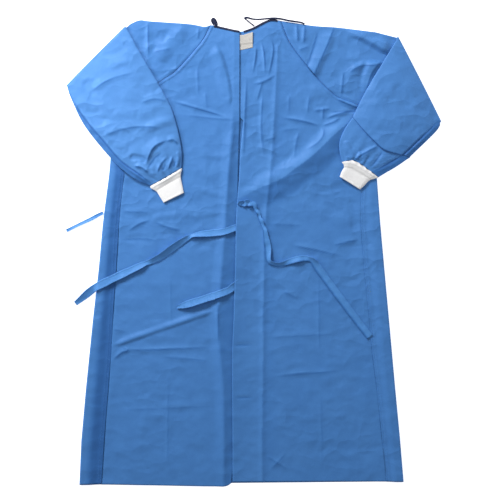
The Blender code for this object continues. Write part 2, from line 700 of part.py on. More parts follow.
def forearm_ring(line, s, vs, forearm):
    """One ring of a forearm, upside down after the elbow fold."""
    spread = forearm.at("half", s) * np.ones_like(vs)
    spread = np.minimum(spread, EDGE_HALF + (spread - EDGE_HALF) * (plump(vs) + SIDE_SPREAD))
    waves = forearm.at("gather", s) * (0.5 - 0.5 * np.cos(2 * np.pi * GATHERS * vs)) * plump(vs)
    middle = forearm.at("under", s) + CLOTH / 2 + spread + forearm.at("dome", s) * plump(vs)
    down = np.array((0, 0, -1.0))
    return tube_ring(line, middle, (spread, spread + waves), down, CLOTH)


def make_cuff(name, rows, seam, collection):
    """A knit cuff: a flattened tube with ribs along its outside, from its seam on the sleeve."""
    stops = 2 * CUFF_RIBS + 1
    vs = np.linspace(0, 1, stops)
    ribs = RIB_HEIGHT * (np.arange(stops) % 2)
    down = np.array((0, 0, -1.0))
    rings = []
    first = rows.rows[0]
    way = np.array((first[3] - first[1], first[4] - first[2]))
    onward = np.array((way[1], -way[0])) / np.linalg.norm(way)
    towards = rows.rows[-1][1:3] - first[1:3]
    onward = onward * math.copysign(1, np.dot(onward, towards))
    straight = np.outer(1 - vs, first[1:3]) + np.outer(vs, first[3:5])
    bow = along(smooth(seam), vs) - straight
    for row in rows.rows:
        done, x0, y0, x1, y1, under, half = row
        line = np.outer(1 - vs, (x0, y0)) + np.outer(vs, (x1, y1))
        line = line + bow * max(0, 1 - SEAM_BOW * done) + onward * (3 * GAP + done * GAP)
        spread = np.minimum(half, CUFF_TIP + half * plump(vs))
        middle = under + KNIT / 2 + RIB_HEIGHT + spread
        rings.append(tube_ring(line, middle, (spread, spread), down, KNIT, ribs))
    return loft_tube(name, [r[0] for r in rings], [r[1] for r in rings], "white_knit", collection)


def cloth_top(x, y, lower):
    """The top of the cloth under a point. Lower means the layer beneath the right panel."""
    over_left = x < (edge_at("left_edge", y) if lower else edge_at("right_edge", y))
    side = "left" if over_left else "right"
    seam, fold, roll = (BODY.at(f"{side}_seam", y), BODY.at(f"{side}_fold", y),
                        BODY.at("roll", y))
    run = (x - fold) / (seam - fold)
    if run < 0:
        return 0.0
    if run < 1:
        crown = roll + (SEAM_HEIGHT + CLOTH / 2 - roll) * run
        return crown * min(1.0, ROLL_FOOT + run * ROLL_STEEPNESS)
    return (left_height if over_left else right_height)(x, y) + CLOTH / 2


def make_ribbon(name, rows, wall, material, collection, lower=False):
    """A flat strip of cloth that rests on the cloth under it, rolled over where it twists."""
    path = smooth(rows.rows, 2 if len(rows.rows) < 12 else 1)
    points, lifts, widths, rolls = path[:, :2], path[:, 2], path[:, 3], np.radians(path[:, 4])
    sections = []
    for i, point in enumerate(points):
        way = points[min(i + 1, len(points) - 1)] - points[max(i - 1, 0)]
        side = np.array((-way[1], way[0])) / np.linalg.norm(way)
        across = side * math.cos(rolls[i]) * widths[i] / 2
        rise = math.sin(rolls[i]) * widths[i] / 2
        rest = max(cloth_top(*(point + across * k), lower) for k in (-1, -0.5, 0, 0.5, 1))
        z = rest + GAP + wall / 2 + abs(rise) + lifts[i]
        sections.append([(*(point + across * k), z + rise * k) for k in (-1.0, 0.0, 1.0)])
    return loft_sheet(name, sections, wall, material, collection)


def make_neck_tie(name, rows, collection):
    """A navy tie that comes off the end of the neck binding, at its own heights."""
    path = smooth(rows.rows, 2)
    points, widths, rolls = path[:, :3], path[:, 3], np.radians(path[:, 4])
    sections = []
    for i, point in enumerate(points):
        way = points[min(i + 1, len(points) - 1)] - points[max(i - 1, 0)]
        side = np.array((-way[1], way[0], 0)) / np.linalg.norm(way[:2])
        across = side * math.cos(rolls[i]) + np.array((0, 0, math.sin(rolls[i])))
        sections.append([point + across * widths[i] * k for k in (-0.5, 0.5)])
    return loft_sheet(name, sections, BINDING, "navy_binding", collection)


def make_binding(name, line, height, collection):
    """A folded strip over a neck edge: on top, round the edge, and underneath."""
    radius = (CLOTH + 3 * GAP + BINDING) / 2
    angles = np.linspace(0, math.pi, BINDING_TURNS)
    arc = [(radius * math.sin(a), radius * math.cos(a)) for a in angles]
    section = [(-BINDING_DEPTH, radius)] + arc + [(-BINDING_DEPTH, -radius)]
    path = np.array(line, float)
    path[0] = (path[0] + path[1]) / 2
    rows = []
    for i, point in enumerate(path):
        way = path[min(i + 1, len(path) - 1)] - path[max(i - 1, 0)]
        way = way / np.linalg.norm(way)
        out = np.array((-way[1], way[0])) * math.copysign(1, way[0])
        z = height(*(point - out * 2))
        rows.append([(*(point + out * (d - GAP)), z + h) for d, h in section])
    return loft_sheet(name, rows, BINDING, "navy_binding", collection)


def make_patch(collection):
    """The hook-and-loop patch on the right panel's neck corner."""
    outline = np.array(PATCH_OUTLINE, float)
    lift = CLOTH / 2 + GAP + PATCH_WALL / 2
    points = [(x, y, SECOND_PLY + lift) for x, y in outline]
    thing = add_object("closure_patch", points, [tuple(range(len(points)))], "white_patch",
                       collection)
    return thicken(thing, PATCH_WALL)


def make_gown():
    """Every piece of the gown, in one collection."""
    collection = bpy.data.collections.new("surgical_gown")
    bpy.context.scene.collection.children.link(collection)
    make_front_panel(collection)
    make_left_panel(collection)
    make_right_panel(collection)
    make_sleeve("sleeve_left", SLEEVE_LEFT, FOREARM_LEFT, collection)
    make_sleeve("sleeve_right", SLEEVE_RIGHT, FOREARM_RIGHT, collection)
    make_cuff("cuff_left", CUFF_LEFT, SLEEVE_LEFT["patches"][-1]["end"], collection)
    make_cuff("cuff_right", CUFF_RIGHT, SLEEVE_RIGHT["patches"][-1]["end"], collection)
    make_binding("neck_binding_left", NECK_LEFT, left_height, collection)
    make_binding("neck_binding_right", NECK_RIGHT[:6], right_height, collection)
    make_neck_tie("neck_tie_left", NECK_TIE_LEFT, collection)
    make_neck_tie("neck_tie_right", NECK_TIE_RIGHT, collection)
    make_patch(collection)
    ties = (("waist_tie_upper_left", TIE_UPPER_LEFT, True),
            ("waist_tie_lower_left", TIE_LOWER_LEFT, True),
            ("waist_tie_right", TIE_RIGHT, False),
            ("waist_tie_side", TIE_SIDE, True))
    for name, rows, lower in ties:
        make_ribbon(name, rows, STRIP, "blue_nonwoven", collection, lower)


clear_scene()
make_gown()
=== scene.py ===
"""The looks of the surgical gown: every piece of cloth as a thin shell on its solid's form, with the
creases, seams, stitches and knit that the photograph shows, and a plain studio seen from above.

Tables and sizes are in millimetres: +X to the right of the laid gown, +Y towards the neck, +Z up.
"""

import math

import bmesh
import bpy
import numpy as np
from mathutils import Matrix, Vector
from mathutils.bvhtree import BVHTree


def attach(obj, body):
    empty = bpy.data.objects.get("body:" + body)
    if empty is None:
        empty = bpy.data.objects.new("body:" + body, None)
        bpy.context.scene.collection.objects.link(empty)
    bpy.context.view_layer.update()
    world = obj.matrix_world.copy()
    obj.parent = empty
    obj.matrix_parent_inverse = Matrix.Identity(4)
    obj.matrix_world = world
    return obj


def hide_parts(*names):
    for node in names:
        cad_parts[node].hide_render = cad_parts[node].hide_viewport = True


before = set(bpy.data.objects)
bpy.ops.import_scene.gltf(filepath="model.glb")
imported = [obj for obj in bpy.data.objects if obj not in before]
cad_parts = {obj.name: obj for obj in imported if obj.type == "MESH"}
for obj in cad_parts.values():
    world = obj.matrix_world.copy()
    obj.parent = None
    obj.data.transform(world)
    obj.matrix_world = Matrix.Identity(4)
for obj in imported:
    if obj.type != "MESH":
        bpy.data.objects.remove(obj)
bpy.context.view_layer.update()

MM = 0.001

# Sizes of the cloth
WALL = 0.6             # wall of the nonwoven shells
KNIT = 1.1             # wall of the knit cuffs, without the ribs
BINDING = 0.6          # wall of the neck binding and its ties
GAP = 0.3              # between pieces at a seam
FLOOR_PLY = WALL / 2                     # mid plane of the ply on the floor
SECOND_PLY = 2.1                         # mid plane of a ply that rests on it
LOWEST = 1.3                             # mid plane of the lowest hollows of that ply

# Heights of the mid planes where the cloth stands up
SEAM_HEIGHT = 3.6      # where the front panel's turned edge meets a back panel
SEAM_RUN = 42.0        # how far in from the seam the back panel comes down
CREST_RUN = 26.0       # how far the left panel rises towards the crease beside its edge
RIDGE_RUN = 13.0       # half width of the right panel's long packing crease
RIDGE_HEIGHT = 2.2     # and its height
RIDGE_END = 570.0      # level where it ends below the neck
RIDGE_FADE = 50.0      # over which it comes down

# Front panel
FLAP_POINTS = 25       # points across each turned edge

# Sleeves
STATIONS = 80          # points across each ply of a sleeve
UPPER_ROWS = 84        # rows from the raglan seam to the elbow fold
ELBOW_RADIUS = 2.9     # radius of the mid plane round the elbow fold
ELBOW_INSET = 5.2      # from the outline at the elbow fold in to the middle of the tube
EDGE_HALF = 0.8        # half height of a flattened tube at its side folds


class Table:
    """Rows of named columns. Columns are read against the first one, along straight runs."""

    def __init__(self, names, *rows):
        self.names = names.split()
        self.rows = np.array(rows, float)

    def __getitem__(self, name):
        return self.rows[:, self.names.index(name)]

    def at(self, name, value):
        order = np.argsort(self.rows[:, 0])
        return np.interp(value, self.rows[order, 0], self[name][order])

    def points(self, *names):
        return np.stack([self[name] for name in names], axis=1)


# The body, one row for each level from hem to armpit: the side folds and side seams, the crease
# and the edge of each back panel at the centre opening, and the height of the roll at the sides
BODY = Table(
    "y left_fold left_seam left_crest left_edge right_edge right_ridge right_seam right_fold roll",
    (-613, -462, -405, -80, -60, -57, 21, 352, 396, 10.0),
    (-500, -457, -398, -79, -46, -57, 21, 341, 387, 10.0),
    (-364, -445, -387, -81, -30, -58, 23, 327, 374, 9.5),
    (-264, -435, -379, -90, -24, -58, 24, 314, 365, 9.0),
    (-176, -426, -375, -97, -26, -54, 24, 307, 357, 9.0),
    (-44, -411, -366, -85, -26, -50, 26, 293, 345, 8.5),
    (68, -401, -359, -77, -29, -48, 30, 285, 335, 8.0),
    (118, -395, -355, -74, -43, -46, 33, 284, 331, 7.0),
    (203, -384, -345, -68, -42, -39, 42, 289, 325, 6.0),
    (269, -378, -350, -62, -40, -36, 48, 297, 319, 5.6),
    (346, -370, -364, -56, -38, -28, 53, 307, 311, 5.0),
)

# The centre edges above the armpits, where the left panel laps over the right one
EDGES = Table(
    "y left_crest left_edge right_edge right_ridge",
    (362, -56, -38, -47, 54),
    (440, -54, -38, -47, 58),
    (520, -52, -38, -49, 62),
)

# How far each back panel stands up beside its centre edge, and at the left panel's crease
LIFT = Table(
    "y left_crest left_edge right_edge",
    (-613, 3.6, 0.0, 2.2),
    (-500, 6.0, 0.0, 5.0),
    (-176, 7.0, 0.0, 7.2),
    (68, 7.0, 0.0, 6.8),
    (118, 6.4, 0.0, 2.0),
    (203, 6.0, 0.0, 0.6),
    (300, 5.4, 0.6, 0.4),
    (350, 3.4, 2.2, 0.0),
    (376, 2.6, 2.6, 0.0),
    (500, 3.1, 3.1, 0.0),
    (600, 3.3, 3.3, 0.0),
)

# The raglan seams, neck to armpit
RAGLAN_LEFT = ((-116, 600), (-134, 564), (-159, 532), (-184, 503), (-212, 475), (-248, 452),
               (-302, 412), (-363, 364))
RAGLAN_RIGHT = ((72, 611), (95, 555), (138, 496), (178, 449), (220, 412), (265, 394), (307, 370))

# The back neck edges from the raglan seams to the centre, and the front neck edge between them
NECK_LEFT = ((-116, 600), (-96, 596), (-74, 591), (-54, 586), (-38, 583))
NECK_RIGHT = ((72, 611), (52, 614), (37, 612), (14, 601), (-3, 592), (-28, 583), (-52, 584))
FRONT_NECK_DROP = 84.0

# Hem levels at the left and the right side
HEM_LEFT = -617
HEM_RIGHT = -609
# Sleeves: the outline along each side, with the cuff seam at the end
SLEEVE_LEFT = {
    "raglan": RAGLAN_LEFT,
    "shoulder": ((-116, 600), (-133, 596), (-173, 603), (-273, 610), (-302, 613), (-326, 604),
                 (-342, 597)),
    "underarm": ((-363, 364), (-430, 392), (-498, 440)),
    "patches": (
        {"end": ((-192, 221), (-233, 196), (-274, 174)),
         "inner": ((-342, 597), (-289, 505), (-254, 445), (-220, 382), (-201, 319), (-191, 264),
                   (-192, 221)),
         "outer": ((-498, 440), (-480, 396), (-451, 337), (-405, 277), (-356, 224),
                   (-313, 191), (-274, 174)),
         "rows": 10},
    ),
}
SLEEVE_RIGHT = {
    "raglan": RAGLAN_RIGHT,
    "shoulder": ((72, 611), (100, 607), (159, 598), (217, 594), (268, 588), (323, 581),
                 (383, 569)),
    "underarm": ((307, 370), (400, 352), (497, 344)),
    "patches": (
        {"end": ((261, 356), (286, 326), (315, 296), (343, 271), (371, 261), (398, 255),
                 (413, 251)),
         "inner": ((383, 569), (366, 542), (333, 488), (294, 422), (261, 356)),
         "outer": ((497, 344), (485, 322), (461, 297), (435, 272), (413, 251)),
         "rows": 6},
        {"end": ((233, 237), (250, 240), (268, 239), (300, 218), (329, 196)),
         "inner": ((259, 352), (242, 328), (230, 303), (225, 282), (227, 258), (233, 237)),
         "outer": ((411, 249), (392, 235), (371, 221), (350, 209), (329, 196)),
         "rows": 6},
    ),
}

# Along each forearm from the elbow fold to the cuff: the height of its underside, the half height
# between its plies, how far the whole tube domes up, and the depth of the gathers on its top
FOREARM_COLUMNS = "along under half dome gather"
FOREARM_LEFT = Table(
    FOREARM_COLUMNS,
    (0.00, 5.8, 1.5, 0.0, 0.0),
    (0.15, 6.4, 2.2, 4.0, 0.0),
    (0.50, 6.8, 2.4, 7.0, 0.0),
    (0.80, 6.6, 2.4, 6.0, 0.8),
    (0.92, 5.6, 2.3, 3.6, 2.0),
    (1.00, 4.2, 2.2, 0.6, 0.6),
)
FOREARM_RIGHT = Table(
    FOREARM_COLUMNS,
    (0.00, 5.8, 1.5, 0.0, 0.0),
    (0.12, 6.6, 2.2, 4.5, 0.0),
    (0.40, 7.4, 2.4, 8.5, 0.0),
    (0.58, 7.4, 2.4, 8.0, 0.0),
    (0.64, 7.0, 2.4, 2.2, 0.4),
    (0.90, 7.0, 2.3, 2.2, 1.6),
    (1.00, 7.0, 2.2, 0.4, 0.6),
)
GATHERS = 5            # waves across the top of each sleeve where it is drawn into its cuff

# Cuffs: a row for each level, its two side points, the height of its underside and half height
CUFF_COLUMNS = "along x0 y0 x1 y1 under half"
CUFF_LEFT = Table(
    CUFF_COLUMNS,
    (0.0, -192, 221, -274, 174, 4.2, 2.2),
    (0.2, -194, 210, -270, 167, 3.9, 1.9),
    (0.4, -194, 195, -257, 158, 3.6, 1.8),
    (0.7, -190, 176, -248, 143, 3.3, 1.8),
    (1.0, -186, 156, -240, 130, 3.1, 1.8),
)
CUFF_RIGHT = Table(
    CUFF_COLUMNS,
    (0.0, 233, 237, 329, 196, 7.0, 2.2),
    (0.2, 238, 230, 320, 194, 6.6, 1.9),
    (0.4, 238, 222, 304, 188, 6.2, 1.8),
    (0.7, 231, 211, 293, 176, 5.6, 1.8),
    (1.0, 227, 199, 281, 165, 5.0, 1.8),
)
CUFF_RIBS = 34         # raised ribs on each face of a cuff
RIB_HEIGHT = 0.45

# Waist ties: points of the middle line, how far the strip stands clear of the cloth under it,
# its width, and how far it is rolled about its own length in degrees
TIE_COLUMNS = "x y lift width roll"
TIE_UPPER_LEFT = Table(
    TIE_COLUMNS,
    (-38, 67, 0.1, 15, 4), (-50, 63, 0.2, 17, 6), (-78, 53, 0.3, 19, 8), (-110, 49, 0.4, 19, 12),
    (-143, 46, 0.5, 16, 22), (-164, 42, 0.8, 11, 30), (-176, 36, 0.6, 15, -14),
    (-207, 15, 0.4, 20, -24), (-249, -15, 0.4, 20, -26), (-272, -26, 0.6, 15, -20),
    (-286, -31, 0.8, 13, 10), (-302, -38, 0.8, 17, 16), (-340, -56, 0.6, 20, 12),
    (-376, -73, 0.6, 21, 8), (-402, -86, 0.8, 21, 4), (-419, -95, 2.6, 20, 0),
    (-433, -105, 2.0, 20, -10), (-450, -119, 0.4, 19, -16), (-473, -138, 0.0, 13, -8),
)
TIE_LOWER_LEFT = Table(
    TIE_COLUMNS,
    (-38, -80, 0.1, 15, -16), (-52, -90, 0.2, 18, -12), (-66, -102, 0.4, 19, 2),
    (-95, -113, 1.4, 20, 12), (-143, -129, 3.4, 20, 14), (-182, -141, 3.2, 18, 10),
    (-205, -148, 1.4, 6, 0),
)
TIE_RIGHT = Table(
    TIE_COLUMNS,
    (-40, 122, 0.4, 10, 0), (-34, 129, 0.8, 15, 28), (-26, 124, 0.6, 12, -16), (-19, 129, 1.0, 17, 24),
    (-9, 125, 0.8, 13, -30), (0, 124, 0.6, 15, 22), (4, 113, 0.4, 10, 6), (11, 103, 0.5, 12, -18),
    (14, 91, 0.3, 9, 8), (20, 80, 0.5, 12, 22), (23, 68, 0.3, 9, -6), (29, 56, 0.5, 11, 14),
    (31, 42, 0.3, 14, 4), (34, 24, 0.3, 18, -4), (37, 6, 0.3, 18, 6), (37, -12, 0.5, 15, 20),
    (41, -27, 0.8, 12, 34), (58, -34, 0.9, 12, 32), (76, -33, 0.8, 13, 22), (95, -26, 0.8, 16, -6),
    (116, -20, 0.9, 17, -18), (136, -18, 0.9, 15, 4), (152, -22, 1.2, 14, 30),
    (162, -33, 1.4, 19, 12), (174, -50, 0.9, 20, 4), (201, -87, 0.6, 19, 0),
    (254, -158, 0.6, 19, 0), (294, -210, 0.6, 18, 0), (307, -227, 0.5, 17, 0),
)
TIE_SIDE = Table(
    TIE_COLUMNS,
    (-399, 102.5, 2.4, 8, 0), (-411, 97.5, 1.0, 9, 0), (-432, 86, 0.2, 10, 16),
    (-462, 72, 0.3, 9, 24), (-497, 55, 0.0, 8, 0),
)
NECK_TIE_COLUMNS = "x y z width roll"
NECK_TIE_LEFT = Table(
    NECK_TIE_COLUMNS,
    (-100, 595.5, 4.4, 6, 10), (-100, 600.5, 5.0, 8, 10), (-102, 606.5, 5.8, 10, 10),
    (-105.5, 613, 6.4, 9, 0), (-109, 615, 6.2, 7, 0), (-110.5, 610, 5.2, 7, 0),
    (-107, 604, 4.2, 8, 0), (-104, 599.5, 3.8, 6, 0),
)
NECK_TIE_RIGHT = Table(
    NECK_TIE_COLUMNS,
    (1, 596.8, 3.0, 4, 10), (-10, 605, 4.4, 4, 30), (-19, 612, 5.0, 4, 30),
    (-24, 617, 5.4, 5.5, 10), (-18, 618.5, 5.6, 5.5, 0), (-4, 615, 5.4, 4.5, 0),
    (12, 614, 5.2, 4.5, 0), (30, 615.5, 5.4, 4.5, 0), (52, 617, 5.8, 5, 10), (72, 615, 5.6, 5, 10),
    (88, 611.5, 5.4, 5, 0), (104, 609, 5.0, 5, 0), (124, 606, 4.6, 4.5, 0), (134, 602, 4.2, 4.5, 0),
)


def offset_points(points, distance):
    """Points moved to the left of their own way."""
    points = np.array(points, float)
    way = np.gradient(points[:, :2], axis=0)
    way /= np.linalg.norm(way, axis=1)[:, None]
    return points + np.column_stack([-way[:, 1], way[:, 0]]) * distance


# The seams along the forearms
FOREARM_SEAM_LEFT = ((-485, 409), (-464, 373), (-432, 330), (-399, 292), (-352, 238), (-305, 204),
                     (-273, 179))
FOREARM_SEAM_RIGHT = ((490, 346), (450, 306), (396, 256), (360, 235), (318, 211))

# The fold that the right panel's cloth is drawn into, from the armpit down to the centre
TENSION_FOLD = ((268, 358), (244, 337), (208, 305), (154, 253), (105, 217), (70, 191), (24, 172),
                (-14, 154), (-44, 136))

# Creases: the points along each one, its height at both ends, the run of its flanks to the left and
# the right of that way, the length over which its ends fade, and how sharp its crest is
CREASES_LEFT = (
    (((-223, 404), (-204, 396), (-115, 370), (-65, 353)), 1.6, 1.8, 6, 5, 12, 0.8),
    (((-191, 363), (-109, 354), (-42, 349)), 0.7, 0.9, 7, 6, 14, 0.7),
    (((-151, 492), (-148, 412)), 0.9, 0.9, 7, 4, 14, 0.7),
    (((-104, 548), (-84, 500), (-70, 440), (-64, 383)), 3.6, 3.0, 9, 26, 24, 0.2),
    (((-143, 163), (-74, 144)), 1.0, 1.2, 12, 10, 14, 0.2),
    (((-352, 107), (-273, 105)), 0.9, 0.6, 8, 7, 10, 0.6),
    (((-337, 52), (-306, 73), (-272, 85)), 1.3, 1.6, 7, 6, 8, 0.8),
    (((-272, 85), (-237, 94), (-168, 105)), 1.5, 0.8, 12, 14, 14, 0.2),
    (((-265, 80), (-227, 65), (-191, 56)), 1.3, 1.4, 10, 7, 10, 0.6),
    (((-352, 31), (-292, 33), (-252, 26)), -1.0, -0.9, 9, 9, 10, 0.5),
    (((-164, 94), (-85, 106)), 1.0, 1.0, 10, 10, 12, 0.4),
    (((-381, -252), (-302, -224), (-196, -187), (-98, -154)), 3.2, 2.0, 10, 7, 12, 0.3),
    (((-350, -249), (-337, -262), (-350, -266), (-376, -288)), 2.0, 1.0, 6, 6, 6, 0.7),
    (((-381, -258), (-292, -259), (-85, -251)), 1.2, 1.0, 6, 9, 10, 0.85),
    (((-248, -277), (-116, -288)), 0.7, 0.7, 8, 8, 14, 0.6),
    (((-376, -204), (-334, -213)), 0.9, 0.5, 7, 7, 6, 0.7),
    (((-97, -129), (-96, -248)), 0.9, 0.9, 5, 5, 12, 0.7),
    (((-223, -49), (-220, -208)), 0.4, 0.4, 9, 6, 16, 0.8),
    (((-228, -319), (-231, -590)), 0.5, 0.5, 9, 6, 20, 0.8),
    (((-376, -420), (-85, -407)), 0.5, 0.5, 10, 8, 20, 0.8),
    (((-130, 423), (-125, 375)), 0.8, 0.4, 8, 8, 8, 0.5),
    (((-180, 269), (-69, 248)), 0.5, 0.8, 14, 12, 14, 0.3),
    (((-276, -372), (-302, -500)), 0.5, 0.5, 16, 16, 20, 0.1),
)
CREASES_RIGHT = (
    (((6, 548), (3, 510), (-5, 466)), 1.8, 1.2, 4, 12, 10, 0.8),
    (((18, 560), (26, 520), (28, 466)), 1.8, 1.4, 10, 5, 10, 0.8),
    (((44, 566), (50, 530), (36, 458)), 2.0, 1.4, 4, 11, 10, 0.8),
    (((-20, 470), (-26, 330), (-30, 230)), 1.4, 1.2, 5, 10, 30, 0.7),
    (((24, 440), (18, 330), (26, 240)), 1.0, 1.2, 10, 5, 30, 0.7),
    (((-6, 444), (24, 450), (60, 470)), 1.6, 1.6, 7, 5, 8, 0.8),
    (((22, 452), (6, 396)), 1.4, 0.8, 6, 9, 8, 0.7),
    (((93, 418), (91, 363)), 0.7, 0.7, 7, 5, 10, 0.7),
    (((147, 418), (140, 363)), 1.1, 1.2, 8, 5, 8, 0.7),
    (((183, 384), (181, 346)), 1.1, 1.1, 7, 5, 6, 0.7),
    (((156, 373), (205, 380)), 1.0, 1.0, 6, 6, 8, 0.6),
    (((70, 356), (126, 347), (178, 333)), 2.0, 2.4, 7, 6, 10, 0.8),
    (((178, 333), (183, 311), (167, 288), (135, 269)), 2.0, 0.8, 7, 7, 8, 0.6),
    (((178, 333), (205, 342), (231, 356)), 1.8, 2.0, 6, 6, 6, 0.7),
    (((188, 352), (228, 367), (265, 375)), 1.8, 3.4, 7, 7, 8, 0.7),
    (((218, 406), (252, 390), (282, 380)), 2.6, 4.0, 7, 7, 4, 0.6),
    (((200, 368), (244, 372), (284, 372)), -1.6, -2.6, 5, 5, 4, 0.6),
    (TENSION_FOLD, 8.0, 6.0, 34, 26, 44, 0.45),
    (((119, 319), (110, 282), (106, 242)), 1.2, 0.8, 8, 6, 8, 0.6),
    (((74, 322), (122, 327)), 0.6, 0.6, 7, 7, 8, 0.6),
    (((26, 295), (58, 303)), 0.8, 0.8, 7, 7, 6, 0.6),
    (((95, 19), (170, 4), (244, -13)), 1.7, 1.0, 10, 9, 10, 0.7),
    (((207, 17), (244, 26), (278, 33)), 1.1, 1.2, 9, 8, 8, 0.6),
    (((255, 138), (265, 89), (270, 49)), -1.8, -1.4, 14, 12, 12, 0.2),
    (((44, 74), (132, 70)), 0.8, 0.6, 8, 8, 8, 0.6),
    (((77, -104), (118, -123)), 0.8, 0.6, 7, 7, 8, 0.5),
    (((40, -331), (132, -321), (191, -318), (244, -311)), 1.3, 0.8, 8, 8, 12, 0.8),
    (((-58, -248), (0, -247)), -1.2, -0.9, 5, 4, 6, 0.9),
    (((-56, -386), (3, -387)), -1.0, -0.8, 5, 4, 6, 0.9),
    (((26, -227), (228, -216)), 0.5, 0.5, 9, 8, 16, 0.7),
    (((170, -49), (172, -288)), 0.5, 0.5, 8, 6, 16, 0.8),
    (((175, -354), (180, -579)), 0.4, 0.4, 8, 6, 16, 0.8),
    (((32, -539), (95, -579)), 0.8, 0.6, 8, 8, 8, 0.6),
    (((42, -579), (85, -531)), 0.6, 0.6, 8, 8, 8, 0.6),
    (((122, -447), (254, -431)), 0.5, 0.5, 12, 10, 14, 0.4),
    (((122, 158), (201, 136), (241, 99)), -1.2, -1.0, 34, 30, 20, 0.0),
    (((-37, 122), (21, 126)), 1.0, 0.8, 6, 4, 5, 0.8),
)
CREASES_UPPER_ARM_LEFT = (
    (((-281, 613), (-281, 560), (-280, 511)), 2.2, 1.6, 12, 6, 8, 0.7),
    (((-183, 600), (-217, 555), (-257, 505)), 2.6, 2.4, 24, 26, 14, 0.15),
    (((-146, 596), (-149, 560)), 1.2, 1.0, 7, 5, 6, 0.6),
    (((-233, 587), (-246, 550)), -1.8, -1.6, 20, 20, 10, 0.0),
    (((-268, 529), (-217, 539)), 0.9, 0.9, 8, 8, 8, 0.5),
)
CREASES_FOREARM_LEFT = (
    (((-435, 460), (-435, 415), (-419, 364), (-392, 327)), -2.4, -1.6, 22, 22, 20, 0.05),
    (((-387, 492), (-326, 508)), 1.2, 1.2, 14, 12, 12, 0.3),
    (((-344, 555), (-325, 538), (-310, 523)), -2.2, -1.0, 9, 9, 8, 0.2),
    (((-405, 303), (-350, 322), (-300, 330), (-236, 328)), 1.4, 1.4, 12, 9, 20, 0.5),
    (((-434, 421), (-382, 454), (-315, 474)), 1.5, 1.2, 12, 9, 20, 0.5),
    (((-300, 392), (-262, 404), (-224, 398)), 1.2, 1.0, 10, 8, 14, 0.5),
    (((-288, 319), (-233, 343), (-201, 346)), 1.6, 1.6, 16, 14, 14, 0.2),
    (((-376, 354), (-302, 370)), 1.2, 1.0, 18, 16, 16, 0.1),
    (((-376, 280), (-329, 269)), 1.4, 1.2, 16, 16, 12, 0.1),
    (FOREARM_SEAM_LEFT, -2.4, -2.2, 2.5, 2.5, 6, 0.6),
    (offset_points(FOREARM_SEAM_LEFT, -5.0), 1.5, 1.5, 4, 4, 6, 0.2),
    (((-286, 232), (-264, 276), (-226, 296)), 3.0, 3.0, 14, 5, 10, 0.7),
    (((-232, 292), (-212, 296), (-196, 282)), 2.6, 2.0, 9, 5, 6, 0.7),
    (((-283, 216), (-262, 246), (-240, 262)), -2.2, -1.2, 7, 7, 6, 0.6),
    (((-258, 206), (-244, 234), (-226, 252)), 2.6, 1.2, 6, 4, 5, 0.7),
    (((-243, 212), (-232, 232)), -1.7, -0.9, 4, 4, 5, 0.6),
    (((-228, 214), (-219, 238), (-213, 256)), 2.2, 1.1, 5, 4, 5, 0.7),
    (((-213, 222), (-206, 240)), -1.6, -0.9, 4, 4, 4, 0.6),
    (((-318, 226), (-296, 222), (-276, 206)), 2.6, 2.2, 8, 5, 8, 0.6),
    (((-330, 246), (-300, 246), (-286, 232)), -2.0, -2.6, 10, 8, 8, 0.2),
    (((-204, 222), (-198, 246), (-200, 268)), 2.2, 1.4, 6, 6, 5, 0.4),
)
CREASES_UPPER_ARM_RIGHT = (
    (((212, 600), (192, 545), (162, 478), (148, 446)), 4.6, 3.4, 12, 20, 10, 0.5),
    (((170, 586), (150, 520), (132, 476)), -2.2, -1.4, 7, 6, 10, 0.5),
    (((112, 606), (115, 552)), 2.6, 1.8, 6, 5, 6, 0.7),
    (((134, 604), (130, 548)), 2.4, 1.6, 6, 5, 6, 0.7),
    (((234, 596), (274, 575), (318, 550), (366, 520)), 5.0, 11.0, 22, 9, 10, 0.45),
    (((248, 566), (296, 536), (350, 504)), -3.0, -3.6, 9, 16, 10, 0.3),
    (((350, 500), (318, 492), (282, 490), (250, 470)), 4.4, 3.0, 20, 9, 10, 0.5),
    (((338, 506), (312, 470), (298, 424)), 4.6, 3.0, 9, 20, 10, 0.5),
    (((300, 500), (286, 460), (284, 420)), -2.4, -1.6, 8, 8, 10, 0.3),
    (((238, 480), (234, 444), (230, 404)), 2.2, 1.8, 6, 12, 8, 0.8),
    (((270, 502), (254, 465), (244, 412)), 1.6, 1.6, 22, 20, 14, 0.1),
    (((117, 534), (146, 545)), 1.2, 1.2, 8, 7, 6, 0.6),
)
CREASES_FOREARM_RIGHT = (
    (((366, 439), (398, 409), (413, 370)), -1.8, -1.2, 26, 24, 18, 0.0),
    (((318, 423), (355, 391)), 1.4, 1.0, 18, 18, 12, 0.1),
    (((344, 327), (398, 338)), 1.0, 1.0, 16, 14, 12, 0.2),
    (((382, 571), (366, 553), (344, 529)), -2.0, -1.0, 6, 6, 6, 0.4),
    (FOREARM_SEAM_RIGHT, -2.4, -2.2, 2.5, 2.5, 6, 0.6),
    (offset_points(FOREARM_SEAM_RIGHT, 5.0), 1.5, 1.5, 4, 4, 6, 0.2),
)
CREASES_WRIST_RIGHT = (
    (((341, 266), (323, 242), (306, 219)), -2.2, -1.8, 5, 7, 5, 0.8),
    (((260, 240), (286, 261), (329, 281)), 2.4, 2.4, 6, 12, 6, 0.6),
    (((238, 295), (249, 269), (260, 242)), 1.6, 2.0, 9, 9, 7, 0.2),
    (((244, 235), (246, 253)), 1.6, 0.8, 5, 5, 4, 0.4),
    (((270, 242), (278, 266)), 1.6, 1.0, 5, 5, 4, 0.4),
    (((284, 229), (297, 253)), 1.4, 0.8, 5, 5, 4, 0.4),
    (((396, 256), (360, 235), (318, 211)), -1.7, -1.5, 5, 4, 4, 0.8),
)

# The side of a ridge away from the key light, where its painted shadow line falls
CREASE_SHADOW_SIDE = (0.55, -0.83)
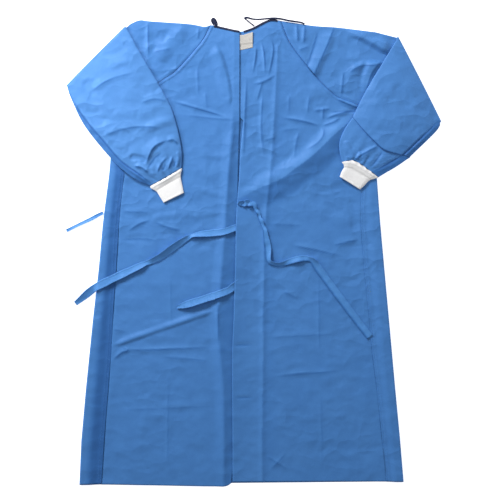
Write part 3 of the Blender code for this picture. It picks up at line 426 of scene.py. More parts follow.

# The pleat across the right forearm: the painted shade on its turned rows, then how far its fold
# overhangs and drops, row by row
PLEAT_SHADE = 0.72
PLEAT_TURN = ((1.6, 0.5), (2.8, 1.6), (3.2, 2.8), (2.6, 4.0), (1.2, 5.0), (0.0, 5.6))


def smooth(points, runs=6):
    """Points along a Catmull-Rom curve through the given ones."""
    points = np.array(points, float)
    padded = np.vstack([2 * points[0] - points[1], points, 2 * points[-1] - points[-2]])
    curve = []
    for i in range(1, len(padded) - 2):
        a, b, c, d = padded[i - 1:i + 3]
        for t in np.arange(runs) / runs:
            curve.append(0.5 * (2 * b + (c - a) * t + (2 * a - 5 * b + 4 * c - d) * t * t
                                + (3 * b - a - 3 * c + d) * t ** 3))
    return np.array(curve + [points[-1]])


def along(line, fractions):
    """Points at fractions of the length of a line of points."""
    line = np.array(line, float)
    steps = np.linalg.norm(np.diff(line[:, :2], axis=0), axis=1)
    length = np.concatenate([[0], np.cumsum(steps)]) / steps.sum()
    return np.stack([np.interp(fractions, length, line[:, k]) for k in range(line.shape[1])], 1)


def lumps(x, y, size, seed):
    """Smooth seeded noise between -1 and 1, with lumps about that size across."""
    grid = np.random.RandomState(seed).uniform(-1, 1, (61, 67))
    u, v = (np.asarray(x) + 3000) / size, (np.asarray(y) + 3000) / size
    i, j = np.floor(u).astype(int), np.floor(v).astype(int)
    u, v = u - i, v - j
    u, v = u * u * (3 - 2 * u), v * v * (3 - 2 * v)

    def knot(di, dj):
        return grid[(i + di) % 61, (j + dj) % 67]

    low = knot(0, 0) * (1 - u) + knot(1, 0) * u
    high = knot(0, 1) * (1 - u) + knot(1, 1) * u
    return low * (1 - v) + high * v


def crumple(x, y, seed):
    """The uneven lie of loose cloth: wide soft swells and faint small ones."""
    return (1.1 * lumps(x, y, 84, seed) + 0.55 * lumps(y, x, 33, seed + 1)
            + 0.20 * lumps(x, y, 13, seed + 2))


def crease_field(creases, x, y, gain=1.35):
    """The height that a list of creases gives at arrays of points, and the painted shadow and highlight
    along their sharp crests.
    """
    total, painted_crease_light = np.zeros(np.shape(x)), np.zeros(np.shape(x))
    for points, height0, height1, left, right, fade, sharp in creases:
        line = smooth(points, 5)
        left, right = left * (1 + 1.1 * sharp), right * (1 + 1.1 * sharp)
        reach = max(left, right)
        near = ((x > line[:, 0].min() - reach) & (x < line[:, 0].max() + reach)
                & (y > line[:, 1].min() - reach) & (y < line[:, 1].max() + reach))
        if not near.any():
            continue
        px, py = x[near], y[near]
        best, s_at, d_at = np.full(px.shape, 1e9), np.zeros(px.shape), np.zeros(px.shape)
        down = np.zeros(px.shape)
        run = 0.0
        for a, b in zip(line[:-1], line[1:]):
            length = np.linalg.norm(b - a)
            ux, uy = (b - a) / length
            ox, oy = px - a[0], py - a[1]
            lower = math.copysign(1, uy * CREASE_SHADOW_SIDE[0] - ux * CREASE_SHADOW_SIDE[1])
            s = np.clip(ox * ux + oy * uy, 0, length)
            distance = np.hypot(ox - s * ux, oy - s * uy)
            closer = distance < best
            best = np.where(closer, distance, best)
            s_at = np.where(closer, run + s, s_at)
            d_at = np.where(closer, ox * -uy + oy * ux, d_at)
            down = np.where(closer, (ox * uy - oy * ux) * lower, down)
            run += length
        fade = min(max(fade, 0.45 * sharp * run), run / 2)
        ends = np.clip(np.minimum(s_at, run - s_at) / fade, 0, 1)
        reach = np.where(d_at > 0, left, right) * (0.4 + 0.6 * ends)
        u = np.clip(best / reach, 0, 1)
        profile = (1 - u * u) ** 2 * (1 - sharp) + (1 - u) ** 1.35 * sharp
        wander = 1 + 0.25 * lumps(px, py, 30, 11)
        height = (height0 + (height1 - height0) * s_at / run) * wander * ends * ends * (3 - 2 * ends)
        total[near] += height * profile
        # A sharp crease gets a painted shadow line on its side away from the key light and a fainter
        # painted highlight on its lit side
        if sharp > 0.45:
            shift = np.where(height > 0, down - 2.0, down)
            painted_crease_shadow = np.clip(np.abs(height) / 1.5, 0, 1) * np.exp(-(shift / 2.2) ** 2)
            light = 0.4 * np.clip(np.abs(height) / 1.5, 0, 1) * np.exp(-((shift + 4.4) / 2.2) ** 2)
            painted_crease_light[near] = np.clip(painted_crease_light[near] + painted_crease_shadow - light, -0.4, 1)
    return total * gain, painted_crease_light


def edge_line(name):
    """A centre edge or crease, hem to neck."""
    return np.vstack([np.stack([table[name], table["y"]], 1) for table in (BODY, EDGES)])


def edge_at(name, y):
    """Where a centre edge or crease lies at a level."""
    line = edge_line(name)
    return np.interp(y, line[:, 1], line[:, 0])


def seam_line(side):
    """A side seam, hem to armpit."""
    line = BODY.points(side + "_seam", "y")
    line[0, 1] = HEM_LEFT if side == "left" else HEM_RIGHT
    return line


def signed_distance(line, x, y):
    """How far points lie to the left of a line of points, negative to its right."""
    best, signed = np.full(np.shape(x), 1e9), np.zeros(np.shape(x))
    for a, b in zip(line[:-1], line[1:]):
        length = np.linalg.norm(b - a)
        ux, uy = (b - a) / length
        ox, oy = x - a[0], y - a[1]
        s = np.clip(ox * ux + oy * uy, 0, length)
        distance = np.hypot(ox - s * ux, oy - s * uy)
        signed = np.where(distance < best, np.copysign(distance, oy * ux - ox * uy), signed)
        best = np.minimum(best, distance)
    return signed


def distance_to(line, x, y):
    """How far points lie from a line of points."""
    return np.abs(signed_distance(line, x, y))


def seam_ridge(distance, height=1.1, middle=6.0, run=5.0, dip=1.3):
    """The ridge over a seam's turned allowance, and the dip at the seam itself."""
    ridge = height * np.exp(-((distance - middle) / run * 1.5) ** 2)
    return ridge - dip * np.exp(-(distance / 2.2) ** 2)


def side_fade(y):
    """One along the side seams, down to nothing where the raglan seam takes over."""
    return np.clip((364 - y) / 18, 0, 1)


def seam_rise(distance):
    """How far a back panel stands up at a distance in from its side seam."""
    return (SEAM_HEIGHT - SECOND_PLY) * np.clip(1 - distance / SEAM_RUN, 0, 1) ** 1.5


def left_height(x, y):
    """The mid plane of the left back panel."""
    x, y = np.asarray(x, float), np.asarray(y, float)
    crest, edge = edge_at("left_crest", y), edge_at("left_edge", y)
    rise, lift = LIFT.at("left_crest", y), LIFT.at("left_edge", y)
    before = rise * np.clip(1 - (crest - x) / CREST_RUN, 0, 1) ** 1.5
    beyond = np.clip((x - crest) / (edge - crest), 0, 1)
    strip = np.where(x < crest, before, rise + (lift - rise) * (1 - (1 - beyond) ** 1.9))
    side = seam_rise(x - BODY.at("left_seam", y)) * side_fade(y)
    side -= 0.9 * np.exp(-((x - BODY.at("left_seam", y)) / 3) ** 2) * side_fade(y)
    seams = seam_ridge(distance_to(smooth(RAGLAN_LEFT), x, y))
    loose = crumple(x, y, 3) * np.clip((crest - x) / 40 + 0.35, 0.2, 1)
    total = SECOND_PLY + strip + side + seams + loose + crease_field(CREASES_LEFT, x, y)[0]
    return np.maximum(total + 0.3, LOWEST)


def right_height(x, y):
    """The mid plane of the right back panel."""
    x, y = np.asarray(x, float), np.asarray(y, float)
    edge, ridge = edge_at("right_edge", y), edge_at("right_ridge", y)
    lift = LIFT.at("right_edge", y) * np.clip((ridge - x) / (ridge - edge), 0, 1) ** 1.8
    crease = RIDGE_HEIGHT * np.clip(1 - abs(x - ridge) / RIDGE_RUN, 0, 1) ** 1.6
    crease *= np.clip((RIDGE_END - y) / RIDGE_FADE, 0, 1)
    side = seam_rise(BODY.at("right_seam", y) - x) * side_fade(y)
    side -= 0.5 * np.exp(-((BODY.at("right_seam", y) - x) / 3) ** 2) * side_fade(y)
    seams = seam_ridge(distance_to(smooth(RAGLAN_RIGHT), x, y))
    loose = crumple(x, y, 21) * np.clip((x - edge) / 30, 0.3, 1)
    total = SECOND_PLY + lift + crease + side + seams + loose
    return np.maximum(total + 0.3 + crease_field(CREASES_RIGHT, x, y)[0], LOWEST)


def grid_faces(rows, columns, closed=False):
    """Faces of a grid of points whose rows are closed rings or open lines."""
    last = columns if closed else columns - 1
    return [(r * columns + c, r * columns + (c + 1) % columns,
             (r + 1) * columns + (c + 1) % columns, (r + 1) * columns + c)
            for r in range(rows - 1) for c in range(last)]


def add_object(name, points, faces, material, painted_light=None):
    """A named, smooth-shaded mesh from points in millimetres. Its painted light is the painted shade
    and painted highlight at each point, a multiplier of its colour, with 1 the plain cloth."""
    mesh = bpy.data.meshes.new(name)
    mesh.from_pydata((np.array(points) * MM).tolist(), [], faces)
    shade = mesh.attributes.new("painted_light", "FLOAT", "POINT")
    shade.data.foreach_set("value", np.ones(len(points)) if painted_light is None else np.ravel(painted_light))
    mesh.materials.append(material)
    mesh.shade_smooth()
    thing = bpy.data.objects.new(name, mesh)
    bpy.context.scene.collection.objects.link(thing)
    return thing


def dress(thing, node):
    """The piece stands for a node of the part, which is hidden, and moves with the part."""
    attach(thing, "root")
    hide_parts(node)
    return thing


def loft_sheet(name, rows, wall, material, painted_light=None):
    """A wall through open lines of points."""
    points = np.vstack([np.array(row, float) for row in rows])
    thing = add_object(name, points, grid_faces(len(rows), len(rows[0])), material, painted_light)
    solidify = thing.modifiers.new("wall", "SOLIDIFY")
    solidify.thickness = wall * MM
    solidify.offset = 0.0
    solidify.use_even_offset = False
    return thing


def loft_tube(name, rings, material, painted_light_rows):
    """A tube wall with open ends, from pairs of outer and inner rings of points."""
    outer, inner = [pair[0] for pair in rings], [pair[1] for pair in rings]
    rows, count = len(outer), len(outer[0])
    faces = grid_faces(rows, count, closed=True)
    start = rows * count
    faces += [tuple(start + i for i in reversed(face)) for face in faces]
    for row, turned in ((0, False), (rows - 1, True)):
        for c in range(count):
            a, b = row * count + c, row * count + (c + 1) % count
            face = (b, a, start + a, start + b)
            faces.append(tuple(reversed(face)) if turned else face)
    painted_light = np.tile(painted_light_rows, (2, 1))
    thing = add_object(name, np.vstack(outer + inner), faces, material, painted_light)
    shell = bmesh.new()
    shell.from_mesh(thing.data)
    bmesh.ops.recalc_face_normals(shell, faces=shell.faces)
    shell.to_mesh(thing.data)
    shell.free()
    return thing


def coons(first, last, side0, side1, us, vs):
    """Points of a patch between four boundary curves, rows along u and stations along v."""
    first, last = along(first, vs), along(last, vs)
    side0, side1 = along(side0, us), along(side1, us)
    rows = []
    for u, s0, s1 in zip(us, side0, side1):
        ruled = (1 - u) * first + u * last
        sides = np.outer(1 - vs, s0) + np.outer(vs, s1)
        corners = (np.outer(1 - vs, (1 - u) * first[0] + u * last[0])
                   + np.outer(vs, (1 - u) * first[-1] + u * last[-1]))
        rows.append(ruled + sides - corners)
    return rows


def left_painted_light(x, y):
    """Painted shade between the left panel's crease and its edge, uneven along it, with painted shade
    and highlight along its sharp creases and painted shade along its raglan seam.
    """
    beyond = np.clip((x - edge_at("left_crest", y) + 6) / 10, 0, 1)
    level = np.clip((372 - y) / 40, 0, 1)
    seam = np.exp(-(distance_to(smooth(RAGLAN_LEFT), x, y) / 3.0) ** 2)
    painted_crease_light = crease_field(CREASES_LEFT, x, y)[1]
    return (1 - 0.15 * beyond * level * (1 + 0.4 * lumps(x, y, 20, 61))) * (1 - 0.42 * painted_crease_light) * (
        1 - 0.35 * seam)


def right_painted_light(x, y):
    """Painted highlight up to the right panel's packing crease and painted shade just beyond it,
    painted highlight on the upper side of the tension fold and painted shadow below it, painted shade
    and highlight along sharp creases, painted shade along the raglan seam, and a faint random mottle.
    """
    past = x - edge_at("right_ridge", y)
    step = np.where(past < 0, 0.06 * np.clip(1 + past / 60, 0, 1), -0.10 * np.clip(1 - past / 46, 0, 1))
    seam = np.exp(-(distance_to(smooth(RAGLAN_RIGHT), x, y) / 3.0) ** 2)
    painted_crease_light = crease_field(CREASES_RIGHT, x, y)[1]
    painted_shading = 1 + step * np.clip((470 - y) / 120, 0, 1) + 0.03 * lumps(x, y, 60, 63)
    above = -signed_distance(smooth(TENSION_FOLD), x, y)
    fold_light_and_shadow = np.where(above > 0, 0.14 * np.exp(-above / 28), -0.16 * np.clip(3 + above / 20, 0, 1))
    painted_shading += fold_light_and_shadow * np.clip((x + 50) / 90, 0.3, 1)
    return painted_shading * (1 - 0.42 * painted_crease_light) * (1 - 0.35 * seam)


def make_panel(name, hem, neck, side0, side1, height, painted_light, columns, rows):
    """A back panel between its four edges, at its heights."""
    grid = coons(hem, neck, side0, side1, np.linspace(0, 1, rows), np.linspace(0, 1, columns))
    lines = [np.column_stack([line, height(line[:, 0], line[:, 1])]) for line in grid]
    return loft_sheet(name, lines, WALL, BLUE, [painted_light(line[:, 0], line[:, 1]) for line in grid])


def make_left_panel():
    """The left back panel."""
    raglan = smooth(RAGLAN_LEFT)[::-1] + (GAP / 2, -GAP / 2)
    side0 = np.vstack([seam_line("left") + (GAP / 2, 0), raglan])
    side1 = np.vstack([edge_line("left_edge"), NECK_LEFT[-1]])
    hem = smooth([side0[0], (-240, -620), (-110, -622), (-74, -621), side1[0]])
    neck = smooth([side0[-1], *NECK_LEFT[1:]])
    return make_panel("cloth_back_left", hem, neck, side0, side1, left_height,
                      left_painted_light, 96, 370)


def make_right_panel():
    """The right back panel."""
    raglan = smooth(RAGLAN_RIGHT)[::-1] + (-GAP / 2, -GAP / 2)
    side0 = np.vstack([edge_line("right_edge"), NECK_RIGHT[-1]])
    side0[0, 1] = HEM_RIGHT - 1
    side1 = np.vstack([seam_line("right") - (GAP / 2, 0), raglan])
    hem = np.array([side0[0], side1[0]])
    neck = smooth([*NECK_RIGHT[:0:-1], side1[-1]])
    return make_panel("cloth_back_right", hem, neck, side0, side1, right_height,
                      right_painted_light, 106, 370)


def side_turn(seam_run, roll, turned, level, seed):
    """The front panel's edge at one side, from the seam round to the floor.

    Each point is a distance in from the side fold and a height. Turned is 1 where the edge
    comes right over the top, and 0 where it lies flat.
    """
    radius = (roll - WALL) / 2
    radius *= 1 + 0.10 * float(lumps(level, 0, 60, seed)) + 0.05 * float(lumps(level, 9, 22, seed))
    angles = np.linspace(0, math.pi * turned, 11)
    start = FLOOR_PLY + radius * turned
    arc = [(start - radius * math.sin(a), FLOOR_PLY + radius * (1 - math.cos(a))) for a in angles]
    top = arc[-1]
    run = max(seam_run - GAP / 2 - top[0], 1.0) * turned + 1.0 * (1 - turned)
    fall = max(0.0, top[1] - SEAM_HEIGHT) * turned
    reach, rise = -math.cos(math.pi * turned), math.sin(math.pi * turned)
    flap = []
    for f in np.linspace(0, 1, FLAP_POINTS)[1:]:
        slope = min(max((f - 0.32) / 0.6, 0.0), 1.0)
        drop = fall * slope * slope * (3 - 2 * slope)
        ripple = 0.45 * turned * math.sin(math.pi * f) * float(lumps(level, f * 30, 26, seed + 5))
        seam = 0.7 * turned * math.exp(-((1 - f) * run / 4 - 1.8) ** 2)
        flap.append((top[0] + reach * run * f, top[1] + rise * run * f - drop + ripple + seam))
    inset, height = flap[-1]
    flap[-1] = (inset, height + 0.5 * turned)
    flap.append((inset + 1.6 * reach, height + 0.35 * turned))
    return flap[::-1] + arc[::-1]


def front_row(left, right, turn0, turn1, stops):
    """One row of the front panel between its left and right edge, given at floor level."""
    way = (right - left) / np.linalg.norm(right - left)
    start, end = left + way * turn0[-1][0], right - way * turn1[-1][0]
    row = [(*(left + way * d), z) for d, z in turn0]
    for f in stops:
        point = start + (end - start) * f
        swell = 0.15 * (1 + float(lumps(point[0], point[1], 90, 55))) * math.sin(math.pi * f)
        row.append((*point, FLOOR_PLY + swell))
    return row + [(*(right - way * d), z) for d, z in turn1[::-1]]


def make_front_panel():
    """The front panel: turned up at both sides as far as the armpits, flat above them."""
    levels = np.concatenate([[-613], np.arange(-608, 346, 4.0), [346]])
    stops = np.linspace(0, 1, 36)[1:-1]
    rows = []
    lean = np.array([(HEM_LEFT + 613) * 1.0, (HEM_RIGHT + 613) * 1.0])
    for level in levels:
        near_hem = max(0.0, 1 - (level + 613) / 100)
        left = np.array((BODY.at("left_fold", level), level + lean[0] * near_hem))
        right = np.array((BODY.at("right_fold", level), level + lean[1] * near_hem))
        run0 = BODY.at("left_seam", level) - left[0]
        run1 = right[0] - BODY.at("right_seam", level)
        roll = BODY.at("roll", level)
        rows.append(front_row(left, right, side_turn(run0, roll, 1.0, level, 31),
                              side_turn(run1, roll, 1.0, level, 41), stops))
    left_knots = smooth(RAGLAN_LEFT)[::-1] + (GAP / 2, -GAP / 2)
    right_knots = smooth(RAGLAN_RIGHT)[::-1] + (-GAP / 2, -GAP / 2)
    last_left, last_right = left, right
    for turned in (0.8, 0.6, 0.4, 0.2):
        left = left_knots[0] + (last_left - left_knots[0]) * turned
        right = right_knots[0] + (last_right - right_knots[0]) * turned
        rows.append(front_row(left, right, side_turn(run0, roll, turned, 346, 31),
                              side_turn(run1, roll, turned, 346, 41), stops))
    fractions = np.linspace(0, 1, 60)
    edge_count = (len(rows[0]) - len(stops)) // 2
    flat = [(0.1 * (i + 1), FLOOR_PLY) for i in range(edge_count)]
    for f, left, right in zip(fractions, along(left_knots, fractions), along(right_knots, fractions)):
        row = np.array(front_row(left, right, flat, flat, stops))
        across = np.clip((row[:, 0] - left[0]) / (right[0] - left[0]), 0, 1)
        row[:, 1] -= FRONT_NECK_DROP * f ** 2 * (4 * across * (1 - across)) ** 0.7
        rows.append(row)
    painted_light = np.ones((len(rows), len(rows[0])))
    # Painted shade on the inner flank of the left turned edge, darkest by its seam
    painted_light[:len(levels), :FLAP_POINTS] = np.interp(np.arange(FLAP_POINTS), (0, 13, 21), (0.60, 0.66, 1))
    return loft_sheet("cloth_front", rows, WALL, BLUE, painted_light)


def tube_ring(line, middle, upper, lower, lean, wall, ribs=0.0, lower_shift=None):
    """One ring of a flattened tube: outer and inner points, from its middle line, the height of
    that line, the half heights of its two plies, and the way that its upper ply faces."""
    length = np.linalg.norm(np.diff(line, axis=0), axis=1).sum()
    trim = (EDGE_HALF + wall / 2) / length
    inset = along(np.column_stack([line, middle]), np.linspace(trim, 1 - trim, len(line)))
    out = inset[0] - inset[-1]
    out /= np.linalg.norm(out)
    ring = []
    for sign in (1, -1):
        grow = sign * wall / 2 + (ribs if sign > 0 else 0)
        low = inset - np.multiply.outer(lower + grow, lean)
        if lower_shift is not None:
            low[:, :2] += lower_shift
        high = inset + np.multiply.outer(upper + grow, lean)
        tip = EDGE_HALF + sign * wall / 2
        turns = np.radians((45, 90, 135))
        far = [inset[-1] - out * tip * math.sin(a) - lean * tip * math.cos(a) for a in turns]
        near = [inset[0] + out * tip * math.sin(a) + lean * tip * math.cos(a) for a in turns]
        ring.append(np.vstack([low, far, high[::-1], near]))
    return ring


def ring_painted_light(vs, lower):
    """The painted light around a ring, from that of its lower ply."""
    return np.concatenate([lower, np.ones(len(vs) + 6)])


def plump(vs):
    """How far a flattened tube swells across its width, none at its side folds."""
    return np.sin(np.pi * vs) ** 0.7


def forearm_ring(line, s, vs, forearm, creases, seed, drop=0.0, shift=None):
    """One ring of a forearm, upside down after the elbow fold, so its lower ply is on top."""
    swell = np.clip(plump(vs), 0, 1)
    spread = forearm.at("half", s) * np.ones_like(vs)
    spread = np.minimum(spread, EDGE_HALF + (spread - EDGE_HALF) * (swell + 0.25))
    phase = 0.35 * lumps(vs * 300, s * 300, 60, seed + 3)
    waves = forearm.at("gather", s) * (0.5 - 0.5 * np.cos(2 * np.pi * (GATHERS * vs + phase)))
    waves += 0.35 * forearm.at("gather", s) * lumps(vs * 260, s * 400, 11, seed + 4)
    middle = forearm.at("under", s) + WALL / 2 + spread + forearm.at("dome", s) * swell
    x, y = line[:, 0], line[:, 1]
    folds, painted_crease_light = crease_field(creases, x, y)
    loose = crumple(x, y, seed) * 0.9 + folds
    top = spread + waves * swell ** 0.6 + loose * np.clip(2.4 * swell, 0, 1)
    top = np.maximum(top, EDGE_HALF * 0.6)
    down = np.array((0, 0, -1.0))
    # Its lower ply, on top, carries the painted shade and highlight of its sharp creases
    return (tube_ring(line, middle - drop * swell, spread, top, down, WALL, lower_shift=shift),
            ring_painted_light(vs, 1 - 0.42 * painted_crease_light))


def seam_painted_shade(seam, line, outward):
    """Painted shade about a forearm's seam: darker at the seam, and darker still beyond it where the
    plies meet.
    """
    seam = np.array(seam, float)
    near = np.argmin(np.hypot(*(line[:, None] - seam[None]).T), axis=0)
    way = np.gradient(seam, axis=0)[near]
    across = line - seam[near]
    side = outward * (way[:, 0] * across[:, 1] - way[:, 1] * across[:, 0]) / np.hypot(*way.T)
    return 1 - 0.28 * np.clip(side / 4, 0, 1) - 0.3 * np.exp(-(side / 2.5) ** 2)


def make_sleeve(name, sleeve, forearm, upper_creases, lower_creases, seed, forearm_painted_light, seam):
    """A raglan sleeve: flat from the raglan seam, folded over at the elbow, back to its cuff."""
    vs = np.linspace(0, 1, STATIONS)
    raglan = smooth(sleeve["raglan"])
    shoulder, underarm = np.array(sleeve["shoulder"]), np.array(sleeve["underarm"])
    outward = math.copysign(1, shoulder[-1][0])
    way = (underarm[-1] - shoulder[-1]) / np.linalg.norm(underarm[-1] - shoulder[-1])
    out = outward * np.array((-way[1], way[0]))
    elbow = np.array([shoulder[-1], underarm[-1]]) - out * ELBOW_INSET
    shoulder = np.vstack([smooth(shoulder[:-1]), elbow[0]])
    underarm = np.vstack([smooth(underarm[:-1]) if len(underarm) > 3 else underarm[:-1], elbow[1]])
    rings, painted_shadings = [], []
    us = np.linspace(0, 1, UPPER_ROWS)
    up = np.array((0, 0, 1.0))
    base = SECOND_PLY - FLOOR_PLY
    shift = np.array((outward * GAP / 2, GAP / 2))
    grid = coons(raglan + shift, elbow, shoulder, underarm, us, vs)
    for u, line in zip(us, grid):
        half = base / 2 + 0.8 * math.sin(math.pi * min(1.0, 1.2 * u) / 2) * plump(vs)
        x, y = line[:, 0], line[:, 1]
        folds, painted_crease_light = crease_field(upper_creases, x, y)
        loose = crumple(x, y, seed + 7) + folds
        loose += seam_ridge(distance_to(raglan, x, y), 0.5)
        fade = np.clip((1 - u) / 0.05, 0, 1) * np.clip(plump(vs) * 2.5, 0, 1)
        top = np.maximum(half + loose * fade, half * 0.55)
        rings.append(tube_ring(line, FLOOR_PLY + half, top, half, up, WALL))
        painted_shadings.append(ring_painted_light(vs, np.ones(STATIONS)))
        # Painted shade and highlight along the upper arm's sharp creases, on its upper ply
        painted_shadings[-1][STATIONS + 3:-3] = 1 - 0.42 * painted_crease_light[::-1]
    elbow_line = along(elbow, vs)
    for turn in np.linspace(0, math.pi, 14)[1:-1]:
        around = out * ELBOW_RADIUS * math.sin(turn)
        height = FLOOR_PLY + half + ELBOW_RADIUS * (1 - math.cos(turn))
        lean = np.append(-out * math.sin(turn), math.cos(turn))
        rings.append(tube_ring(elbow_line + around, height, half, half, lean, WALL))
        painted_shadings.append(ring_painted_light(vs, np.ones(STATIONS)))
    done, total = 0, sum(patch["rows"] for patch in sleeve["patches"])
    start = elbow
    for number, patch in enumerate(sleeve["patches"]):
        inner = np.vstack([start[0], smooth(patch["inner"])[3:]])
        outer = np.vstack([start[-1], smooth(patch["outer"])[3:]])
        us = np.linspace(0, 1, 15 * patch["rows"])
        if number:
            us = us[1:]
        first = smooth(start) if len(start) > 2 else start
        grid = coons(first, smooth(patch["end"]), inner, outer, us, vs)
        for u, line in zip(us, grid):
            s = (done + u * patch["rows"]) / total
            s_low = 0.64 + (s - 0.5) * 0.72 if number else min(s * 1.16, 0.58)
            at = s_low if len(sleeve["patches"]) > 1 else s
            creases = lower_creases[number]
            ring, painted_shading = forearm_ring(line, at, vs, forearm, creases, seed)
            rings.append(ring)
            # The forearm made lighter by its painted light, with painted shade at its seam
            painted_shadings.append(painted_shading * forearm_painted_light * ring_painted_light(vs, seam_painted_shade(seam, line, outward)))
        if number + 1 < len(sleeve["patches"]):
            onward = grid[-1] - grid[-2]
            onward /= np.linalg.norm(onward, axis=1)[:, None]
            for reach, drop in PLEAT_TURN:
                overhang = onward * reach * plump(vs)[:, None]
                ring, painted_shading = forearm_ring(line, at, vs, forearm, creases, seed, drop, overhang)
                rings.append(ring)
                # Painted shade on the rows turned under the pleat's fold
                painted_shadings.append(painted_shading * PLEAT_SHADE)
        done += patch["rows"]
        start = np.array(patch["end"], float) - (0, 2.0)
    return loft_tube(name, rings, BLUE, np.array(painted_shadings))


def make_cuff(name, rows, seam, seed, frill):
    """A knit cuff: a flattened tube with ribs along its outside, from its seam on the sleeve."""
    vs = np.linspace(0, 1, 4 * CUFF_RIBS + 1)
    first = rows.rows[0]
    way = np.array((first[3] - first[1], first[4] - first[2]))
    onward = np.array((way[1], -way[0])) / np.linalg.norm(way)
    onward *= math.copysign(1, np.dot(onward, rows.rows[-1][1:3] - first[1:3]))
    straight = np.outer(1 - vs, first[1:3]) + np.outer(vs, first[3:5])
    bow = along(smooth(seam), vs) - straight
    down = np.array((0, 0, -1.0))
    rings = []
    for done in np.linspace(0, 1, 40):
        x0, y0, x1, y1, under, half = (rows.at(c, done) for c in "x0 y0 x1 y1 under half".split())
        line = np.outer(1 - vs, (x0, y0)) + np.outer(vs, (x1, y1))
        line = line + bow * max(0, 1 - 2 * done) + onward * (3 * GAP + done * GAP)
        flare = 2.6 * math.exp(-((done - 0.12) / 0.10) ** 2)
        line = line + np.outer(2 * vs - 1, way / np.linalg.norm(way)) * flare
        sway = 0.02 * math.sin(7 * done + seed)
        ribs = RIB_HEIGHT * (0.5 - 0.5 * np.cos(2 * np.pi * CUFF_RIBS * (vs + sway)))
        ruffle = max(0, 1 - done / 0.16)
        waves = frill * ruffle * np.sin(2 * np.pi * 6 * vs + seed) * np.sin(np.pi * vs)
        line = line + np.outer(waves * 0.8, onward)
        lip = 2.8 * math.exp(-((done - 0.13) / 0.11) ** 2)
        lip -= 1.2 * math.exp(-((done - 0.34) / 0.05) ** 2)
        lip += 0.6 * math.exp(-((done - 0.96) / 0.03) ** 2)
        swell = lumps(vs * 90, done * 60, 22, seed) * np.sin(np.pi * vs)
        spread = np.minimum(half, EDGE_HALF + 0.2 + half * plump(vs))
        middle = under + KNIT / 2 + RIB_HEIGHT + spread
        top = spread + np.maximum(waves * 0.7 + lip * plump(vs) + 0.7 * swell, -0.6)
        rings.append(tube_ring(line, middle, spread, top, down, KNIT, ribs))
    steps = np.linspace(0, 1, len(rings))
    # Painted shade in the groove under the cuff's rolled band and where the cuff starts from the sleeve
    painted_light_rows = 1 - 0.25 * np.exp(-((steps - 0.32) / 0.035) ** 2) - 0.15 * np.exp(-(steps / 0.03) ** 2)
    return loft_tube(name, rings, KNIT_WHITE, np.repeat(painted_light_rows[:, None], len(rings[0][0]), axis=1))


class Cloth:
    """The finished pieces seen from above, for what rests on them."""

    def __init__(self, things):
        depsgraph = bpy.context.evaluated_depsgraph_get()
        self.trees = [BVHTree.FromObject(thing, depsgraph) for thing in things]

    def top(self, x, y):
        """The highest cloth at a point, or the floor."""
        best = 0.0
        for tree in self.trees:
            hit = tree.ray_cast(Vector((x * MM, y * MM, 0.2)), Vector((0, 0, -1)))[0]
            if hit is not None:
                best = max(best, hit.z / MM)
        return best


def soften(values, passes):
    """A running mean along an array, ends kept."""
    for _ in range(passes):
        inner = (values[:-2] + 2 * values[1:-1] + values[2:]) / 4
        values = np.concatenate([values[:1], inner, values[-1:]])
    return values


def make_ribbon(name, rows, cloth, seed, painted_shadow_side):
    """A folded strip that rests on the cloth under it, rolled over where it twists, with a painted
    shadow along its edge on its left (1) or right (-1)."""
    path = along(smooth(rows.rows, 8), np.linspace(0, 1, 150))
    points, lifts, widths, rolls = path[:, :2], path[:, 2], path[:, 3], np.radians(path[:, 4])
    ks = np.linspace(-1, 1, 13)
    way = np.gradient(points, axis=0)
    side = np.column_stack([-way[:, 1], way[:, 0]]) / np.linalg.norm(way, axis=1)[:, None]
    rests = []
    for i, point in enumerate(points):
        across = side[i] * math.cos(rolls[i]) * widths[i] / 2
        rests.append([cloth.top(*(point + across * k)) for k in ks])
    rests = np.array(rests)
    high = rests.max(axis=1)
    padded = np.pad(high, 2, mode="edge")
    high = np.max([padded[i:i + len(high)] for i in range(5)], axis=0)
    base = soften(np.maximum(rests, 0.55 * high[:, None] + 0.45 * rests), 5)
    base = np.maximum(base, rests)
    sections = []
    for i, point in enumerate(points):
        width = widths[i] * (1 + 0.06 * float(lumps(i * 4.0, 0, 30, seed)))
        across = side[i] * math.cos(rolls[i]) * width / 2
        rise = math.sin(rolls[i]) * width / 2
        welt = 0.2 * np.exp(-((np.abs(ks) - 0.86) / 0.12) ** 2)
        cup = 0.9 * ks * ks + 0.6 * lumps(i * 5.0, ks * 14, 16, seed)
        z = base[i] + GAP + WALL / 2 + abs(rise) + lifts[i] + rise * ks + welt + np.maximum(cup, 0)
        sections.append([(*(point + across * k), h) for k, h in zip(ks, z)])
    painted_light = np.tile(1 - 0.4 * np.clip(2.5 * painted_shadow_side * ks - 0.9, 0, 1), len(sections))
    return loft_sheet(name, sections, WALL, TAPE, painted_light), np.array(sections)


def make_neck_tie(name, rows):
    """A navy tie that comes off the end of the neck binding, at its own heights."""
    path = smooth(rows.rows, 8)
    points, widths, rolls = path[:, :3], path[:, 3], np.radians(path[:, 4])
    sections = []
    for i, point in enumerate(points):
        way = points[min(i + 1, len(points) - 1)] - points[max(i - 1, 0)]
        side = np.array((-way[1], way[0], 0)) / np.linalg.norm(way[:2])
        across = side * math.cos(rolls[i]) + np.array((0, 0, math.sin(rolls[i])))
        hump = [0.5 * (1 - (2 * k) ** 2) for k in (-0.5, -0.25, 0, 0.25, 0.5)]
        sections.append([point + across * widths[i] * k + (0, 0, h)
                         for k, h in zip((-0.5, -0.25, 0, 0.25, 0.5), hump)])
    return loft_sheet(name, sections, BINDING, NAVY), np.array(sections)


